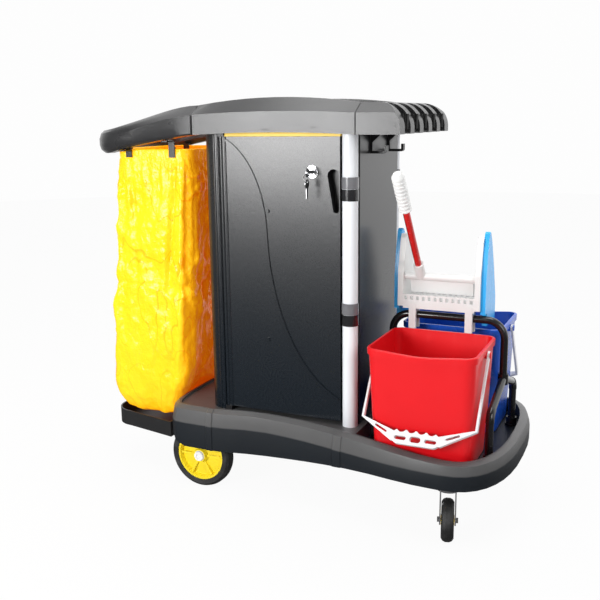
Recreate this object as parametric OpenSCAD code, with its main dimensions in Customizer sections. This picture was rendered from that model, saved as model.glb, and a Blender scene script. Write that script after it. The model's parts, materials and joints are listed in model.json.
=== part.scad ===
// Janitor cart: wheeled base, lockable cabinet, waste bag on a push handle,
// tool rack, two buckets and a wringer on a tube frame. Millimetres, +Z up,
// +X toward the bucket end, -Y toward the cabinet door.

/* [Overall] */
// Length from the nose of the push handle to the bow of the base
cart_l = 1170; // [1140:1:1220]
// Width of the base at the bucket end
cart_w = 560; // [540:1:600]

/* [Base] */
// Half width of the base over the rear wheels
rear_half_w = 216; // [212:1:224]
// Half width of the base at its waist
waist_half_w = 197; // [196:1:202]
// X of the left end of the base
base_left_x = -350; // [-355:1:-345]
// X where the base is widest
wide_x = 440; // [430:1:450]
// Lowest edge of the skirt beside the rear wheels
skirt_low_z = 117; // [112:1:122]
// How much higher the skirt ends at the bucket end
skirt_rise = 30; // [25:1:34]
// Height of the edge between skirt and sloped rim
band_z = 184; // [180:1:188]
// Height of the rim beside the cabinet
rim_z = 228; // [226:1:232]
// How much lower the rim is at the bucket end
rim_drop = 18; // [12:1:22]
// Width of the sloped part of the rim
rim_slope = 20; // [16:1:22]
// Width of the flat lip on the rim
rim_lip = 6; // [5:1:8]
// Wall of the moulded base
base_wall = 5; // [4:0.5:6]
// Height of the floor that the cabinet stands on
plinth_z = 222; // [220:1:224]
// Height of the floor that the buckets stand on
deck_z = 172; // [170:1:174]

/* [Cabinet] */
// X of the cabinet's wall toward the bag
cab_left_x = -222; // [-226:1:-218]
// Length of the cabinet along X
cab_l = 422; // [418:1:426]
// Depth of the cabinet along Y
cab_w = 336; // [328:1:340]
// Height of the underside of the top tray
cab_top_z = 958; // [954:1:962]
// Radius of the upright corners of the cabinet
cab_r = 45; // [35:1:50]
// Thickness of the cabinet panels
panel_t = 4; // [3:0.5:5]
// Diameter of the round corner posts
post_d = 38; // [36:1:40]
// How far a post stands proud of the cabinet's front
post_proud = 7; // [5:1:9]
// Wall of a black band on a post
band_t = 2; // [1.5:0.5:2.5]
// Heights of the middles of the two bands on each post
band_heights = [510, 814]; // [450:1:860]
// Height of one band, both halves together
band_h = 56; // [48:1:62]
// Heights of the tops of the two shelves
shelf_heights = [427, 594]; // [380:1:640]
// Thickness of a shelf
shelf_t = 8; // [6:1:10]

/* [Door] */
// X of the hinge pin
hinge_x = -160.5; // [-163:0.5:-158]
// Diameter of the hinge barrel on the door
barrel_d = 12; // [11:0.5:12.5]
// Diameter of the hinge pin
hinge_pin_d = 5; // [4:0.5:6]
// Thickness of the door
door_t = 6; // [5:0.5:7]
// Height of the lower edge of the door
door_low_z = 234; // [233:1:238]
// Height of the upper edge of the door
door_high_z = 936; // [930:1:937]
// Gap between the door and the post beside it
door_gap = 2.5; // [2:0.5:4]
// Gap between the ends of the door and its hinge brackets
door_end_gap = 0.6; // [0.4:0.1:1]
// Width of the raised line across the door
line_w = 6; // [4:1:8]
// Height of the raised line above the door
line_h = 2; // [1.5:0.5:3]
// X of the lock
lock_x = 89; // [80:1:95]
// Height of the lock
lock_z = 853; // [845:1:860]
// Diameter of the lock's rosette
rosette_d = 30; // [26:1:34]
// Diameter of the lock's barrel
lock_barrel_d = 19; // [17:1:21]
// Diameter of the turning plug
plug_d = 12; // [11:0.5:13]

/* [Top cover] */
// Half width of the cover
cover_half_w = 205; // [198:1:208]
// Height of the lower edge of the cover at its ends
cover_low_z = 941; // [940:1:944]
// Rise of the lower edge to the middle of the cabinet
cover_arch = 6; // [4:1:8]
// Height of the edge between the side and the sloped face
cover_band_z = 990; // [986:1:994]
// Height of the highest point of the cover
cover_top_z = 1029; // [1024:1:1034]
// Width of the sloped face
cover_slope = 37; // [32:1:40]
// Width of the flat crest
cover_crest = 10; // [8:1:12]
// Wall of the cover
cover_wall = 5; // [4:0.5:6]
// Thickness of the tray floor
tray_floor_t = 5; // [4:0.5:6]
// Depth of the groove between two sections
groove = 3; // [2:0.5:4]
// Height of the handle's nose, its underside
nose_low_z = 893; // [885:1:900]
// Height of the handle's end bar
nose_h = 62; // [56:1:66]
// Depth of the handle's end bar along X
nose_d = 46; // [42:1:48]
// Length of the tool rack along X
rack_l = 105; // [100:1:110]
// Radius of the rounded nose of the tool rack
rack_r = 60; // [54:1:64]
// Number of slots for tool handles
slot_n = 5; // [4:1:5]
// Distance from slot to slot
slot_pitch = 74; // [72:1:76]
// Width of a slot
slot_w = 44; // [42:1:46]
// Depth of a slot along X
slot_l = 50; // [46:1:54]
// Thickness of the rubber grips
grip_t = 7; // [6:0.5:8]

/* [Waste bag] */
// Length of the bag's mouth along X
bag_l = 232; // [226:1:236]
// Half width of the bag's mouth along Y
bag_half_w = 144; // [140:1:146]
// Height of the bag's upper hem
bag_top_z = 905; // [900:1:908]
// Height of the bag's bottom
bag_low_z = 166; // [164:1:170]
// Thickness of the bag's wall as a solid
bag_wall = 2; // [1.5:0.5:2.5]
// Height of the bag tray's rim
tray_rim_z = 156; // [153:1:158]
// Height of the bag tray's underside
tray_low_z = 112; // [110:1:114]
// Length of the bag tray along X
tray_l = 222; // [216:1:224]
// Half width of the bag tray where it meets the base
tray_half_w = 163; // [158:1:166]

/* [Buckets] */
// Length of a bucket's rim along X
bucket_l = 263; // [259:1:265]
// Width of a bucket's rim along Y
bucket_w = 228; // [224:1:229]
// Height of a bucket
bucket_h = 283; // [278:1:286]
// X of the middle of both buckets
bucket_x = 383.5; // [382:0.5:385]
// Gap from the middle plane to a bucket's rim
bucket_gap = 25; // [24:1:26]
// How far the long walls draw in toward the bottom
bucket_taper = 19; // [18:1:22]
// Corner radius of a bucket
bucket_r = 22; // [18:1:28]
// Wall of a bucket
bucket_wall = 3; // [2.5:0.5:3.5]
// Width of the rolled rim
bucket_rim = 6; // [5:0.5:7]
// Depth of the pouring dip in a bucket's outer rim
rim_dip = 8; // [5:1:10]
// Diameter of a bail's pivot pin
bail_pin_d = 10; // [9:0.5:11]
// Depth of the pivots below the rim
bail_drop = 18; // [16:1:20]
// Reach of a bail from its pivots to the middle of its bar
bail_reach = 220; // [216:1:222]
// Angle of a resting bail from straight down
bail_rest = 34; // [33:0.5:36]
// Thickness of a bail's arms along X
bail_arm = 5; // [4:0.5:6]
// Width of a bail's arms
bail_w = 12; // [10:1:14]

/* [Tube frame] */
// Diameter of the black tube
tube_d = 19; // [18:0.5:20]
// Bend radius of the tube
tube_bend = 45; // [40:1:48]
// Height of the middle of the top bar
bar_z = 486; // [484:1:490]
// Distance between the two uprights
frame_l = 287; // [286:1:290]
// Half distance between the feet along Y
foot_y = 140; // [135:1:145]
// Height where the upright meets the spread legs
fork_z = 342; // [336:1:348]
// Drop of a spread leg from the fork to its bend
leg_drop = 50; // [44:1:56]
// Diameter of a foot flange
foot_d = 34; // [32:1:36]

/* [Wringer] */
// X of the outside of the cheek toward the cabinet
cheek_left_x = 257; // [256:1:259]
// X of the outside of the other cheek
cheek_right_x = 467; // [466:1:470]
// Thickness of a cheek
cheek_t = 14; // [12:1:16]
// Height of the lower edge of the cheeks
cheek_low_z = 509; // [507:1:511]
// Depth of the cheeks behind the middle plane
cheek_back_y = 100; // [95:1:104]
// Height of the top of the cheeks
cheek_top_z = 690; // [680:1:696]
// Thickness of a blue shield
shield_t = 12; // [11:1:13]
// Height of the axis of the rocking shaft
shaft_z = 585; // [583:1:588]
// Diameter of the rocking shaft
shaft_d = 20; // [18:1:22]
// Angle of the lever from straight up, toward the front
lever_lean = 37; // [35:0.5:39]
// Length of the lever from the shaft's axis to its tip
lever_l = 338; // [330:1:345]
// Diameter of the lever's tube
lever_d = 17; // [15:1:18]
// Length of the ribbed grip
lever_grip_l = 112; // [105:1:118]
// Diameter of the ribbed grip
lever_grip_d = 31; // [28:1:33]
// X of the lever
lever_x = 312; // [310:1:314]
// Reach of the press plate below the shaft's axis
press_reach = 43; // [40:1:44]

/* [Wheels] */
// Diameter of a rear wheel
wheel_d = 178; // [172:1:182]
// Width of a rear tyre
wheel_w = 36; // [34:1:40]
// X of the rear axle
axle_x = -238; // [-242:1:-234]
// Diameter of the rear axle
axle_d = 12; // [11:0.5:14]
// Distance from the middle plane to the middle of a rear wheel
track = 182; // [178:1:184]
// Diameter of a castor wheel
castor_d = 102; // [98:1:104]
// Width of a castor tyre
castor_w = 30; // [28:1:32]
// X of the castor stems
castor_x = 448; // [444:1:452]
// Distance from the middle plane to a castor stem
castor_y = 202; // [198:1:204]
// Distance from a castor's stem to its axle
castor_trail = 25; // [22:1:26]
// Height of the pad that a castor is bolted to
castor_pad_z = 140; // [138:1:142]
// Angle of the castors from the Y axis
castor_angle = 14; // [10:1:18]

/* [Hidden] */
$fn = 48;

// Clearances: a turning pin in its bore, and two faces that pass each other
run_fit = 0.05;
side_gap = 0.3;
// Overlap that joins two shapes of one solid
weld = 1;

// Colours
charcoal = "#2b2d31";
plastic_black = "#17181b";
bag_yellow = "#ffb81c";
bright_yellow = "#ffe01a";
bucket_red = "#e8231f";
bucket_blue = "#1f5fc4";
shield_blue = "#2f93e6";
white_plastic = "#eceef0";
steel = "#c4c8cc";
tyre_black = "#1d1d1f";

function clamp01(t) = min(1, max(0, t));
function smooth(t) = let (c = clamp01(t)) c * c * (3 - 2 * c);
function lerp(a, b, t) = a + (b - a) * t;
// Quarter of a superellipse: cosine and sine raised to 2 / power
function squared_cos(a, power) = pow(max(0, cos(a)), 2 / power);
function squared_sin(a, power) = pow(max(0, sin(a)), 2 / power);
function unit(v) = v / norm(v);

// Triangles between rings of equal point count, each ring turning
// counterclockwise about the direction of travel
function loft_sides(n, m, loop) = [
    for (i = [0 : n - (loop ? 1 : 2)], j = [0 : m - 1], half = [0, 1])
        let (
            k = (i + 1) % n,
            a = i * m + j,
            b = i * m + (j + 1) % m,
            c = k * m + (j + 1) % m,
            d = k * m + j)
        half == 0 ? [a, c, b] : [a, d, c]];
function loft_caps(n, m) = [
    [for (j = [0 : m - 1]) j],
    [for (j = [m - 1 : -1 : 0]) (n - 1) * m + j]];

module loft(rings) {
    n = len(rings);
    m = len(rings[0]);
    polyhedron([for (r = rings, p = r) p], concat(loft_sides(n, m, false), loft_caps(n, m)), 6);
}

module loft_loop(rings) {
    n = len(rings);
    m = len(rings[0]);
    polyhedron([for (r = rings, p = r) p], loft_sides(n, m, true), 6);
}

// Rounded rectangle from x0 to x1 and -w to w, with corner radius r
module rounded_plan(x0, x1, y0, y1, r) {
    translate([x0 + r, y0]) square([x1 - x0 - 2 * r, y1 - y0]);
    translate([x0, y0 + r]) square([x1 - x0, y1 - y0 - 2 * r]);
    for (x = [x0 + r, x1 - r], y = [y0 + r, y1 - r]) translate([x, y]) circle(r);
}

module along_x(x0, x1, d) {
    translate([x0, 0, 0]) rotate([0, 90, 0]) cylinder(h = x1 - x0, d = d);
}

module along_y(y0, y1, d) {
    translate([0, y0, 0]) rotate([-90, 0, 0]) cylinder(h = y1 - y0, d = d);
}

// Base outline
base_half_l = cart_l / 2;
base_half_w = cart_w / 2;
waist_x = -60;
rear_x = -190;
bow_power = 2.6;
tail_power = 3;
tail_l = 75;
seam_h = 2.5;
seams = [[-197, 16], [174, 22]];
function seam_at(x) = max([for (s = seams) abs(x - s[0]) < s[1] / 2 + 0.1 ? seam_h : 0]);
function base_half_at(x) =
    rear_half_w
    + (waist_half_w - rear_half_w) * smooth((x - rear_x) / (waist_x - rear_x))
    + (base_half_w - waist_half_w) * smooth((x - waist_x) / (wide_x - waist_x));
function seam_stations() = [
    for (s = seams, e = [-1.25, -1, 1, 1.25]) s[0] + e * s[1] / 2];
function descending(v) = len(v) < 2 ? v :
    let (top = max(v)) concat([top], descending([for (x = v) if (x != top) x]));
tail_x = base_left_x + tail_l;
// X of the step from the plinth down to the bucket deck
step_x = cab_left_x + cab_l + 15;
step_stations = [step_x - 4 * base_wall, step_x - 2 * base_wall];
fixed_stations = concat(seam_stations(), step_stations);
function is_clear(x) = min([for (s = fixed_stations) abs(x - s)]) > 10;
side_stations = descending(concat(fixed_stations,
    [for (i = [1 : 11]) let (x = wide_x - i * (wide_x - tail_x) / 12) if (is_clear(x)) x]));
// One half of the outline, from the bow at Y = 0 round to the tail at Y = 0, with or without the seams
function half_outline(seam_share) = concat(
    [for (a = [0 : 10 : 90])
        [wide_x + (base_half_l - wide_x) * squared_cos(a, bow_power),
         base_half_w * squared_sin(a, bow_power)]],
    [for (x = side_stations) [x, base_half_at(x) + seam_share * seam_at(x)]],
    [for (a = [90 : -15 : 0])
        [tail_x - tail_l * squared_cos(a, tail_power),
         rear_half_w * squared_sin(a, tail_power)]]);
function both_halves(half) = concat(half,
    [for (i = [len(half) - 2 : -1 : 1]) [half[i][0], -half[i][1]]]);
outline = both_halves(half_outline(1));
plain_outline = both_halves(half_outline(0));
half_n = len(half_outline(1));
outline_n = len(outline);
function outline_normal(i) =
    let (
        a = plain_outline[(i + outline_n - 1) % outline_n],
        b = plain_outline[(i + 1) % outline_n],
        d = unit(b - a))
    [d[1], -d[0]];
// The seams stand out on the skirt only: the rim's inner edge runs plain
function inset_point(i, inset) =
    (inset < rim_w ? outline[i] : plain_outline[i]) - inset * outline_normal(i);

fender_rise = 45;
function skirt_bottom(x) =
    skirt_low_z
    + skirt_rise * smooth((x + 100) / 400)
    + fender_rise * smooth((base_left_x + 65 - x) / 65);
function rim_top(x) = rim_z - rim_drop * smooth((x - 185) / 300);
rim_w = rim_slope + rim_lip;
skirt_root_z = band_z - 8;
deck_low_z = deck_z - base_wall;
plinth_low_z = plinth_z - base_wall;
// The rim's foot is high over the rear wheels and low round the bucket deck
function rim_foot(x) = x < step_x - 3 * base_wall ? plinth_low_z - 2 : deck_low_z;
function rim_section(i) =
    let (x = outline[i][0], zt = rim_top(x), zb = skirt_bottom(x))
    [for (p = [[rim_w, zt], [rim_slope, zt], [rim_slope / 3, lerp(band_z, zt, 0.8)],
               [0, band_z], [0, zb], [base_wall, zb], [base_wall, skirt_root_z],
               [rim_w, rim_foot(x)]])
        let (q = inset_point(i, p[0])) [q[0], q[1], p[1]]];
// Floor outline between two X values, just inside the rim
floor_fit = 0.3;
floor_inset = rim_w + floor_fit;
function floor_half_w(x) = base_half_at(x) - floor_inset - 1.2;
function floor_outline(x0, x1) =
    let (half = concat(
        x1 < base_half_l ? [[x1, floor_half_w(x1)]] : [],
        [for (i = [0 : half_n - 1])
            let (q = inset_point(i, floor_inset))
            if (q[0] > x0 + weld && q[0] < x1 - weld) q],
        x0 > base_left_x ? [[x0, floor_half_w(x0)]] : []))
    concat(half, [for (i = [len(half) - 1 : -1 : 0])
        if (half[i][1] > weld) [half[i][0], -half[i][1]]]);

castor_pad_d = 90;

module base_platform() {
    color(charcoal) loft_loop([for (i = [0 : outline_n - 1]) rim_section(i)]);
}

module base_floor() {
    color(charcoal) {
        translate([0, 0, plinth_low_z]) linear_extrude(base_wall)
            polygon(floor_outline(-cart_l, step_x));
        translate([0, 0, deck_low_z]) linear_extrude(base_wall)
            polygon(floor_outline(step_x - 2 * base_wall, cart_l));
        translate([0, 0, deck_low_z]) linear_extrude(plinth_z - deck_low_z)
            polygon(floor_outline(step_x - base_wall, step_x));
        for (side = [-1, 1])
            translate([castor_x, side * castor_y, castor_pad_z + run_fit])
                cylinder(h = deck_low_z - castor_pad_z + weld - run_fit, d = castor_pad_d);
    }
}

// Bag tray: a tongue of moulded plastic with two hangers under the plinth
tray_wall = 4;
tray_nose_r = 62;
tray_taper = 32;
tray_gap = 2;
tray_right_x = base_left_x - tray_gap;
tray_left_x = tray_right_x - tray_l;
hanger_y = 100;
hanger_l = 56;
module tray_plan(inset) {
    nose_y = tray_half_w - tray_taper - tray_nose_r;
    polygon(concat(
        [[tray_right_x - inset, -tray_half_w + inset], [tray_right_x - inset, tray_half_w - inset]],
        [for (s = [1, -1], a = [0 : 10 : 90])
            let (t = s > 0 ? 90 - a : a, r = tray_nose_r - inset)
            [tray_left_x + tray_nose_r - r * cos(t), s * (nose_y + r * sin(t))]]));
}
module bag_tray() {
    color(plastic_black) {
        difference() {
            translate([0, 0, tray_low_z]) linear_extrude(tray_rim_z - tray_low_z) tray_plan(0);
            translate([0, 0, tray_low_z + tray_wall]) linear_extrude(tray_rim_z) tray_plan(tray_wall);
        }
        for (side = [-1, 1]) {
            translate([tray_right_x - tray_wall, side * hanger_y - tray_wall, tray_low_z])
                cube([hanger_l + tray_wall, 2 * tray_wall, tray_wall * 2]);
            translate([tray_right_x + hanger_l - 20, side * hanger_y - tray_wall, tray_low_z])
                cube([20, 2 * tray_wall, plinth_low_z - tray_low_z]);
        }
    }
}

// Rear axle and wheels
axle_z = wheel_d / 2;
bracket_y = 120;
bracket_t = 6;
bracket_w = 56;
spacer_d = 20;
hub_w = wheel_w + 4;
cap_t = 5;
module axle_brackets() {
    color(steel) for (side = [-1, 1]) mirror([0, side < 0 ? 1 : 0, 0]) difference() {
        union() {
            translate([axle_x - bracket_w / 2, bracket_y, axle_z])
                cube([bracket_w, bracket_t, plinth_low_z - axle_z]);
            translate([axle_x, 0, axle_z]) along_y(bracket_y, bracket_y + bracket_t, bracket_w);
            translate([axle_x - bracket_w / 2, bracket_y - 30, plinth_low_z - bracket_t])
                cube([bracket_w, 30 + bracket_t, bracket_t]);
        }
        translate([axle_x, 0, axle_z])
            along_y(bracket_y - 1, bracket_y + bracket_t + 1, axle_d + 2 * run_fit);
    }
}
module rear_axle() {
    axle_end = track + hub_w / 2 - side_gap;
    color(steel) translate([axle_x, 0, axle_z]) {
        along_y(-axle_end, axle_end, axle_d);
        for (side = [-1, 1]) mirror([0, side < 0 ? 1 : 0, 0]) {
            along_y(bracket_y + bracket_t + side_gap, track - hub_w / 2 - side_gap, spacer_d);
            along_y(bracket_y - 8, bracket_y - side_gap, spacer_d);
        }
    }
}
module at_wheel(side) {
    translate([axle_x, side * track, axle_z]) rotate([side < 0 ? 90 : -90, 0, 0]) children();
}
rim_r = wheel_d / 2 * 0.77;
module rear_tyre(side) {
    r = wheel_d / 2;
    w = wheel_w / 2;
    color(tyre_black) at_wheel(side) rotate_extrude($fn = 96)
        polygon([[rim_r, -w + 2], [r - 8, -w], [r - 2, -w + 5], [r, -w + 11],
                 [r, w - 11], [r - 2, w - 5], [r - 8, w], [rim_r, w - 2]]);
}
spoke_n = 6;
module rear_rim(side) {
    w = wheel_w / 2;
    hub_r = 17;
    web_t = 7;
    color(bright_yellow) at_wheel(side) difference() {
        union() {
            rotate_extrude($fn = 96)
                polygon([[0, -hub_w / 2], [hub_r, -hub_w / 2], [hub_r + 2, -web_t / 2],
                         [rim_r - 10, -web_t / 2], [rim_r - 7, -w + 3], [rim_r, -w + 3],
                         [rim_r, w - 3], [rim_r - 5, w - 3], [rim_r - 9, web_t / 2],
                         [hub_r + 4, web_t / 2 + 5], [hub_r, hub_w / 2], [0, hub_w / 2]]);
            for (i = [0 : spoke_n - 1]) rotate([0, 0, i * 360 / spoke_n])
                translate([hub_r - 2, -3, 0]) cube([rim_r - hub_r - 6, 6, w - 6]);
        }
        translate([0, 0, -hub_w]) cylinder(h = 2 * hub_w, d = axle_d + 2 * run_fit);
    }
}
module rear_cap(side) {
    color(white_plastic) at_wheel(side) translate([0, 0, hub_w / 2]) difference() {
        cylinder(h = cap_t, d1 = 30, d2 = 26);
        translate([0, 0, cap_t - 1.5]) cylinder(h = cap_t, d = 14);
    }
}

// Castors: local frame at the stem on the floor, the wheel trailing to -Y
castor_r = castor_d / 2;
castor_bolt_d = 8;
kingpin_d = 12;
plate_t = 5;
race_h = 8;
race_d = 50;
crown_t = 8;
fork_t = 3;
fork_gap = 1.5;
race_low_z = castor_pad_z - plate_t - race_h;
crown_top_z = race_low_z - side_gap;
module at_castor(side) {
    translate([castor_x, side * castor_y, 0]) rotate([0, 0, castor_angle]) children();
}
module castor_plate(side) {
    color(plastic_black) at_castor(side) difference() {
        union() {
            translate([-40, -32, castor_pad_z - plate_t]) cube([80, 64, plate_t]);
            translate([0, 0, race_low_z]) cylinder(h = race_h + weld, d = race_d);
        }
        translate([0, 0, race_low_z - 1])
            cylinder(h = race_h + plate_t, d = kingpin_d + 2 * run_fit);
    }
}
module castor_fork(side) {
    leg_x = castor_w / 2 + fork_gap;
    color(steel) at_castor(side) difference() {
        union() {
            translate([0, 0, crown_top_z - crown_t]) cylinder(h = crown_t, d = race_d + 6);
            translate([0, 0, crown_top_z - crown_t])
                cylinder(h = crown_t + race_h + 1, d = kingpin_d);
            for (s = [-1, 1]) translate([s > 0 ? leg_x : -leg_x - fork_t, 0, 0])
                rotate([90, 0, 90]) linear_extrude(fork_t) {
                    translate([-castor_trail, castor_r]) circle(13);
                    polygon([[-castor_trail - 13, castor_r], [-castor_trail + 12, castor_r - 4],
                             [19, crown_top_z - crown_t / 2], [-22, crown_top_z - crown_t / 2]]);
                }
        }
        translate([0, -castor_trail, castor_r])
            along_x(-castor_w, castor_w, castor_bolt_d + 2 * run_fit);
    }
}
module castor_axle(side) {
    head_x = castor_w / 2 + fork_gap + fork_t;
    color(steel) at_castor(side) translate([0, -castor_trail, castor_r]) {
        along_x(-head_x - 4, head_x + 4, castor_bolt_d);
        for (s = [-1, 1]) mirror([s < 0 ? 1 : 0, 0, 0])
            translate([head_x, 0, 0]) rotate([0, 90, 0]) cylinder(h = 5, d = 14, $fn = 6);
    }
}
castor_core_r = castor_r * 0.72;
module castor_core(side) {
    w = castor_w / 2;
    color(bright_yellow) at_castor(side) translate([0, -castor_trail, castor_r])
        rotate([0, 90, 0]) difference() {
            rotate_extrude()
                polygon([[0, -w - 1], [12, -w - 1], [14, -5], [castor_core_r - 6, -5],
                         [castor_core_r - 4, -w + 1], [castor_core_r, -w + 1],
                         [castor_core_r, w - 1], [castor_core_r - 4, w - 1],
                         [castor_core_r - 6, 5], [14, 5], [12, w + 1], [0, w + 1]]);
            translate([0, 0, -castor_w]) cylinder(h = 2 * castor_w, d = castor_bolt_d + 2 * run_fit);
        }
}
module castor_tyre(side) {
    w = castor_w / 2;
    color(tyre_black) at_castor(side) translate([0, -castor_trail, castor_r])
        rotate([0, 90, 0]) rotate_extrude($fn = 72)
            polygon([[castor_core_r, -w], [castor_r - 9, -w], [castor_r - 3, -w + 4],
                     [castor_r, -w + 10], [castor_r, w - 10], [castor_r - 3, w - 4],
                     [castor_r - 9, w], [castor_core_r, w]]);
}

// Cabinet places
cab_right_x = cab_left_x + cab_l;
cab_front_y = -cab_w / 2;
post_r = post_d / 2;
post_x = cab_right_x - post_r;
post_y = cab_w / 2 + post_proud - post_r;
band_r = post_r + band_t;
band_clear_r = band_r + side_gap;
hinge_y = cab_front_y + door_t / 2;
door_right_x = post_x - post_r - door_gap;
shell_end_x = hinge_x - barrel_d / 2 - 1;
bead_r = 3.5;
cab_h = cab_top_z - plinth_z;

module cabinet_shell() {
    back_end_x = post_x - sqrt(pow(band_clear_r, 2) - pow(cab_w / 2 - panel_t - post_y, 2));
    color(plastic_black) translate([0, 0, plinth_z]) {
        linear_extrude(cab_h) difference() {
            rounded_plan(cab_left_x, cab_right_x, cab_front_y, -cab_front_y, cab_r);
            rounded_plan(cab_left_x + panel_t, cab_right_x, cab_front_y + panel_t,
                -cab_front_y - panel_t, cab_r - panel_t);
            translate([shell_end_x, cab_front_y - 1]) square([cab_l, cab_w / 2]);
            translate([back_end_x, -1]) square([cab_l, cab_w]);
        }
        for (i = [0, 1]) translate([shell_end_x - bead_r - i * 10, cab_front_y + 1.5, 0])
            cylinder(h = cab_h, r = bead_r);
    }
}

module end_panel() {
    half = post_y - sqrt(pow(band_clear_r, 2) - pow(post_r - panel_t, 2));
    color(charcoal) translate([cab_right_x - panel_t, -half, plinth_z])
        cube([panel_t, 2 * half, cab_h]);
}

module post(side) {
    color(white_plastic) translate([post_x, side * post_y, plinth_z]) difference() {
        cylinder(h = cab_h, d = post_d);
        translate([0, 0, -1]) cylinder(h = cab_h + 2, d = post_d - 2 * band_t);
    }
}

module post_bands(side) {
    split = 1;
    half_h = (band_h - split) / 2;
    color(plastic_black) translate([post_x, side * post_y, 0])
        for (z = band_heights, s = [0, 1]) translate([0, 0, z - band_h / 2 + s * (half_h + split)])
            difference() {
                cylinder(h = half_h, r = band_r);
                translate([0, 0, -1]) cylinder(h = half_h + 2, r = post_r + run_fit);
            }
}

module shelf(top_z) {
    x0 = cab_left_x + panel_t + side_gap;
    x1 = cab_right_x - panel_t - side_gap;
    front_set = 26;
    color(plastic_black) difference() {
        translate([0, 0, top_z - shelf_t]) linear_extrude(shelf_t)
            rounded_plan(x0, x1, cab_front_y + front_set, -cab_front_y - panel_t - side_gap, cab_r);
        for (side = [-1, 1]) translate([post_x, side * post_y, top_z - 2 * shelf_t])
            cylinder(h = 3 * shelf_t, r = band_clear_r);
    }
}

rail_w = 12;
rail_l = 200;
module shelf_rails() {
    color(plastic_black) for (z = shelf_heights)
        for (x = [cab_left_x + panel_t, cab_right_x - panel_t - rail_w])
            translate([x, -rail_l / 2, z - shelf_t - rail_w]) cube([rail_w, rail_l, rail_w]);
}

bracket_half = 10;
module header_rail() {
    x0 = hinge_x + bracket_half + 1;
    color(bright_yellow) translate([x0, cab_front_y, door_high_z + door_end_gap])
        cube([post_x - post_r - 1 - x0, 10, cab_top_z - door_high_z - door_end_gap]);
}

module hinge_brackets() {
    spans = [[plinth_z, door_low_z - door_end_gap], [door_high_z + door_end_gap, cab_top_z]];
    color(plastic_black) for (s = spans) difference() {
        translate([shell_end_x, cab_front_y - bracket_half / 3, s[0]])
            cube([hinge_x + bracket_half - shell_end_x, 2 * bracket_half, s[1] - s[0]]);
        translate([hinge_x, hinge_y, s[0] - 1])
            cylinder(h = s[1] - s[0] + 2, d = hinge_pin_d + 2 * run_fit);
    }
}

module hinge_pin() {
    color(steel) translate([hinge_x, hinge_y, plinth_z]) cylinder(h = cab_h, d = hinge_pin_d);
}

// Raised line on the door: two cubic curves, in X and Z
function bezier(p, t) =
    p[0] * pow(1 - t, 3) + p[1] * 3 * t * pow(1 - t, 2)
    + p[2] * 3 * t * t * (1 - t) + p[3] * pow(t, 3);
line_mid = [-37, 690];
line_upper = [[hinge_x + 15, door_high_z - 8], [-80, 890], [-40, 800], line_mid];
line_lower = [line_mid, [-32, 540], [30, 350], [door_right_x - 4, 291]];
line_points = concat(
    [for (i = [0 : 11]) bezier(line_upper, i / 12)],
    [for (i = [0 : 12]) bezier(line_lower, i / 12)]);
function line_side(i, d) =
    let (
        n = len(line_points),
        t = unit(line_points[min(n - 1, i + 1)] - line_points[max(0, i - 1)]))
    line_points[i] + d * [-t[1], t[0]];
studs = [[-33, 755], [-38, 427]];
stud_d = 9;

// Finger pull beside the free edge of the door
pull_upper = [door_right_x - 17, 845, 15];
pull_lower = [door_right_x - 10, 764, 8];
module pull_plan(grow) {
    for (c = [pull_upper, pull_lower]) translate([c[0], c[1]]) circle(c[2] + grow);
    a = pull_upper;
    b = pull_lower;
    polygon([[a[0] - a[2] - grow, a[1]], [b[0] - b[2] - grow, b[1]],
             [b[0] + b[2] + grow, b[1]], [a[0] + a[2] + grow, a[1]]]);
}

// Lays a plan of X and Z on the plane at y, reaching d toward +Y
module upright(y, d) {
    translate([0, y + d, 0]) rotate([90, 0, 0]) linear_extrude(d) children();
}

module door_panel() {
    n = len(line_points);
    color(charcoal) difference() {
        union() {
            translate([hinge_x, cab_front_y, door_low_z])
                cube([door_right_x - hinge_x, door_t, door_high_z - door_low_z]);
            translate([hinge_x, hinge_y, door_low_z])
                cylinder(h = door_high_z - door_low_z, d = barrel_d);
            translate([hinge_x + barrel_d, cab_front_y + 1.5, door_low_z])
                cylinder(h = door_high_z - door_low_z, r = bead_r);
            for (level = [[line_h, line_w / 2], [1.6 * line_h, line_w / 3]])
                upright(cab_front_y - level[0], level[0] + weld)
                    polygon(concat([for (i = [0 : n - 1]) line_side(i, level[1])],
                        [for (i = [n - 1 : -1 : 0]) line_side(i, -level[1])]));
            for (s = studs) translate([s[0], 0, s[1]])
                along_y(cab_front_y - 2 * line_h, cab_front_y + weld, stud_d);
        }
        translate([hinge_x, hinge_y, door_low_z - 1])
            cylinder(h = door_high_z - door_low_z + 2, d = hinge_pin_d + 2 * run_fit);
        upright(cab_front_y - 1, door_t + 2) pull_plan(0);
        translate([lock_x, 0, lock_z])
            along_y(cab_front_y - 1, cab_front_y + door_t + 1, lock_barrel_d + 2 * run_fit);
    }
}

pull_depth = 20;
pull_wall = 1.5;
module door_pull() {
    back_y = cab_front_y + door_t;
    color(plastic_black) difference() {
        upright(back_y, pull_depth) pull_plan(pull_wall);
        upright(back_y - 1, pull_depth - pull_wall + 1) pull_plan(0);
    }
}

lock_nut_t = 5;
lock_reach = 18;
cam_t = 3;
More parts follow.
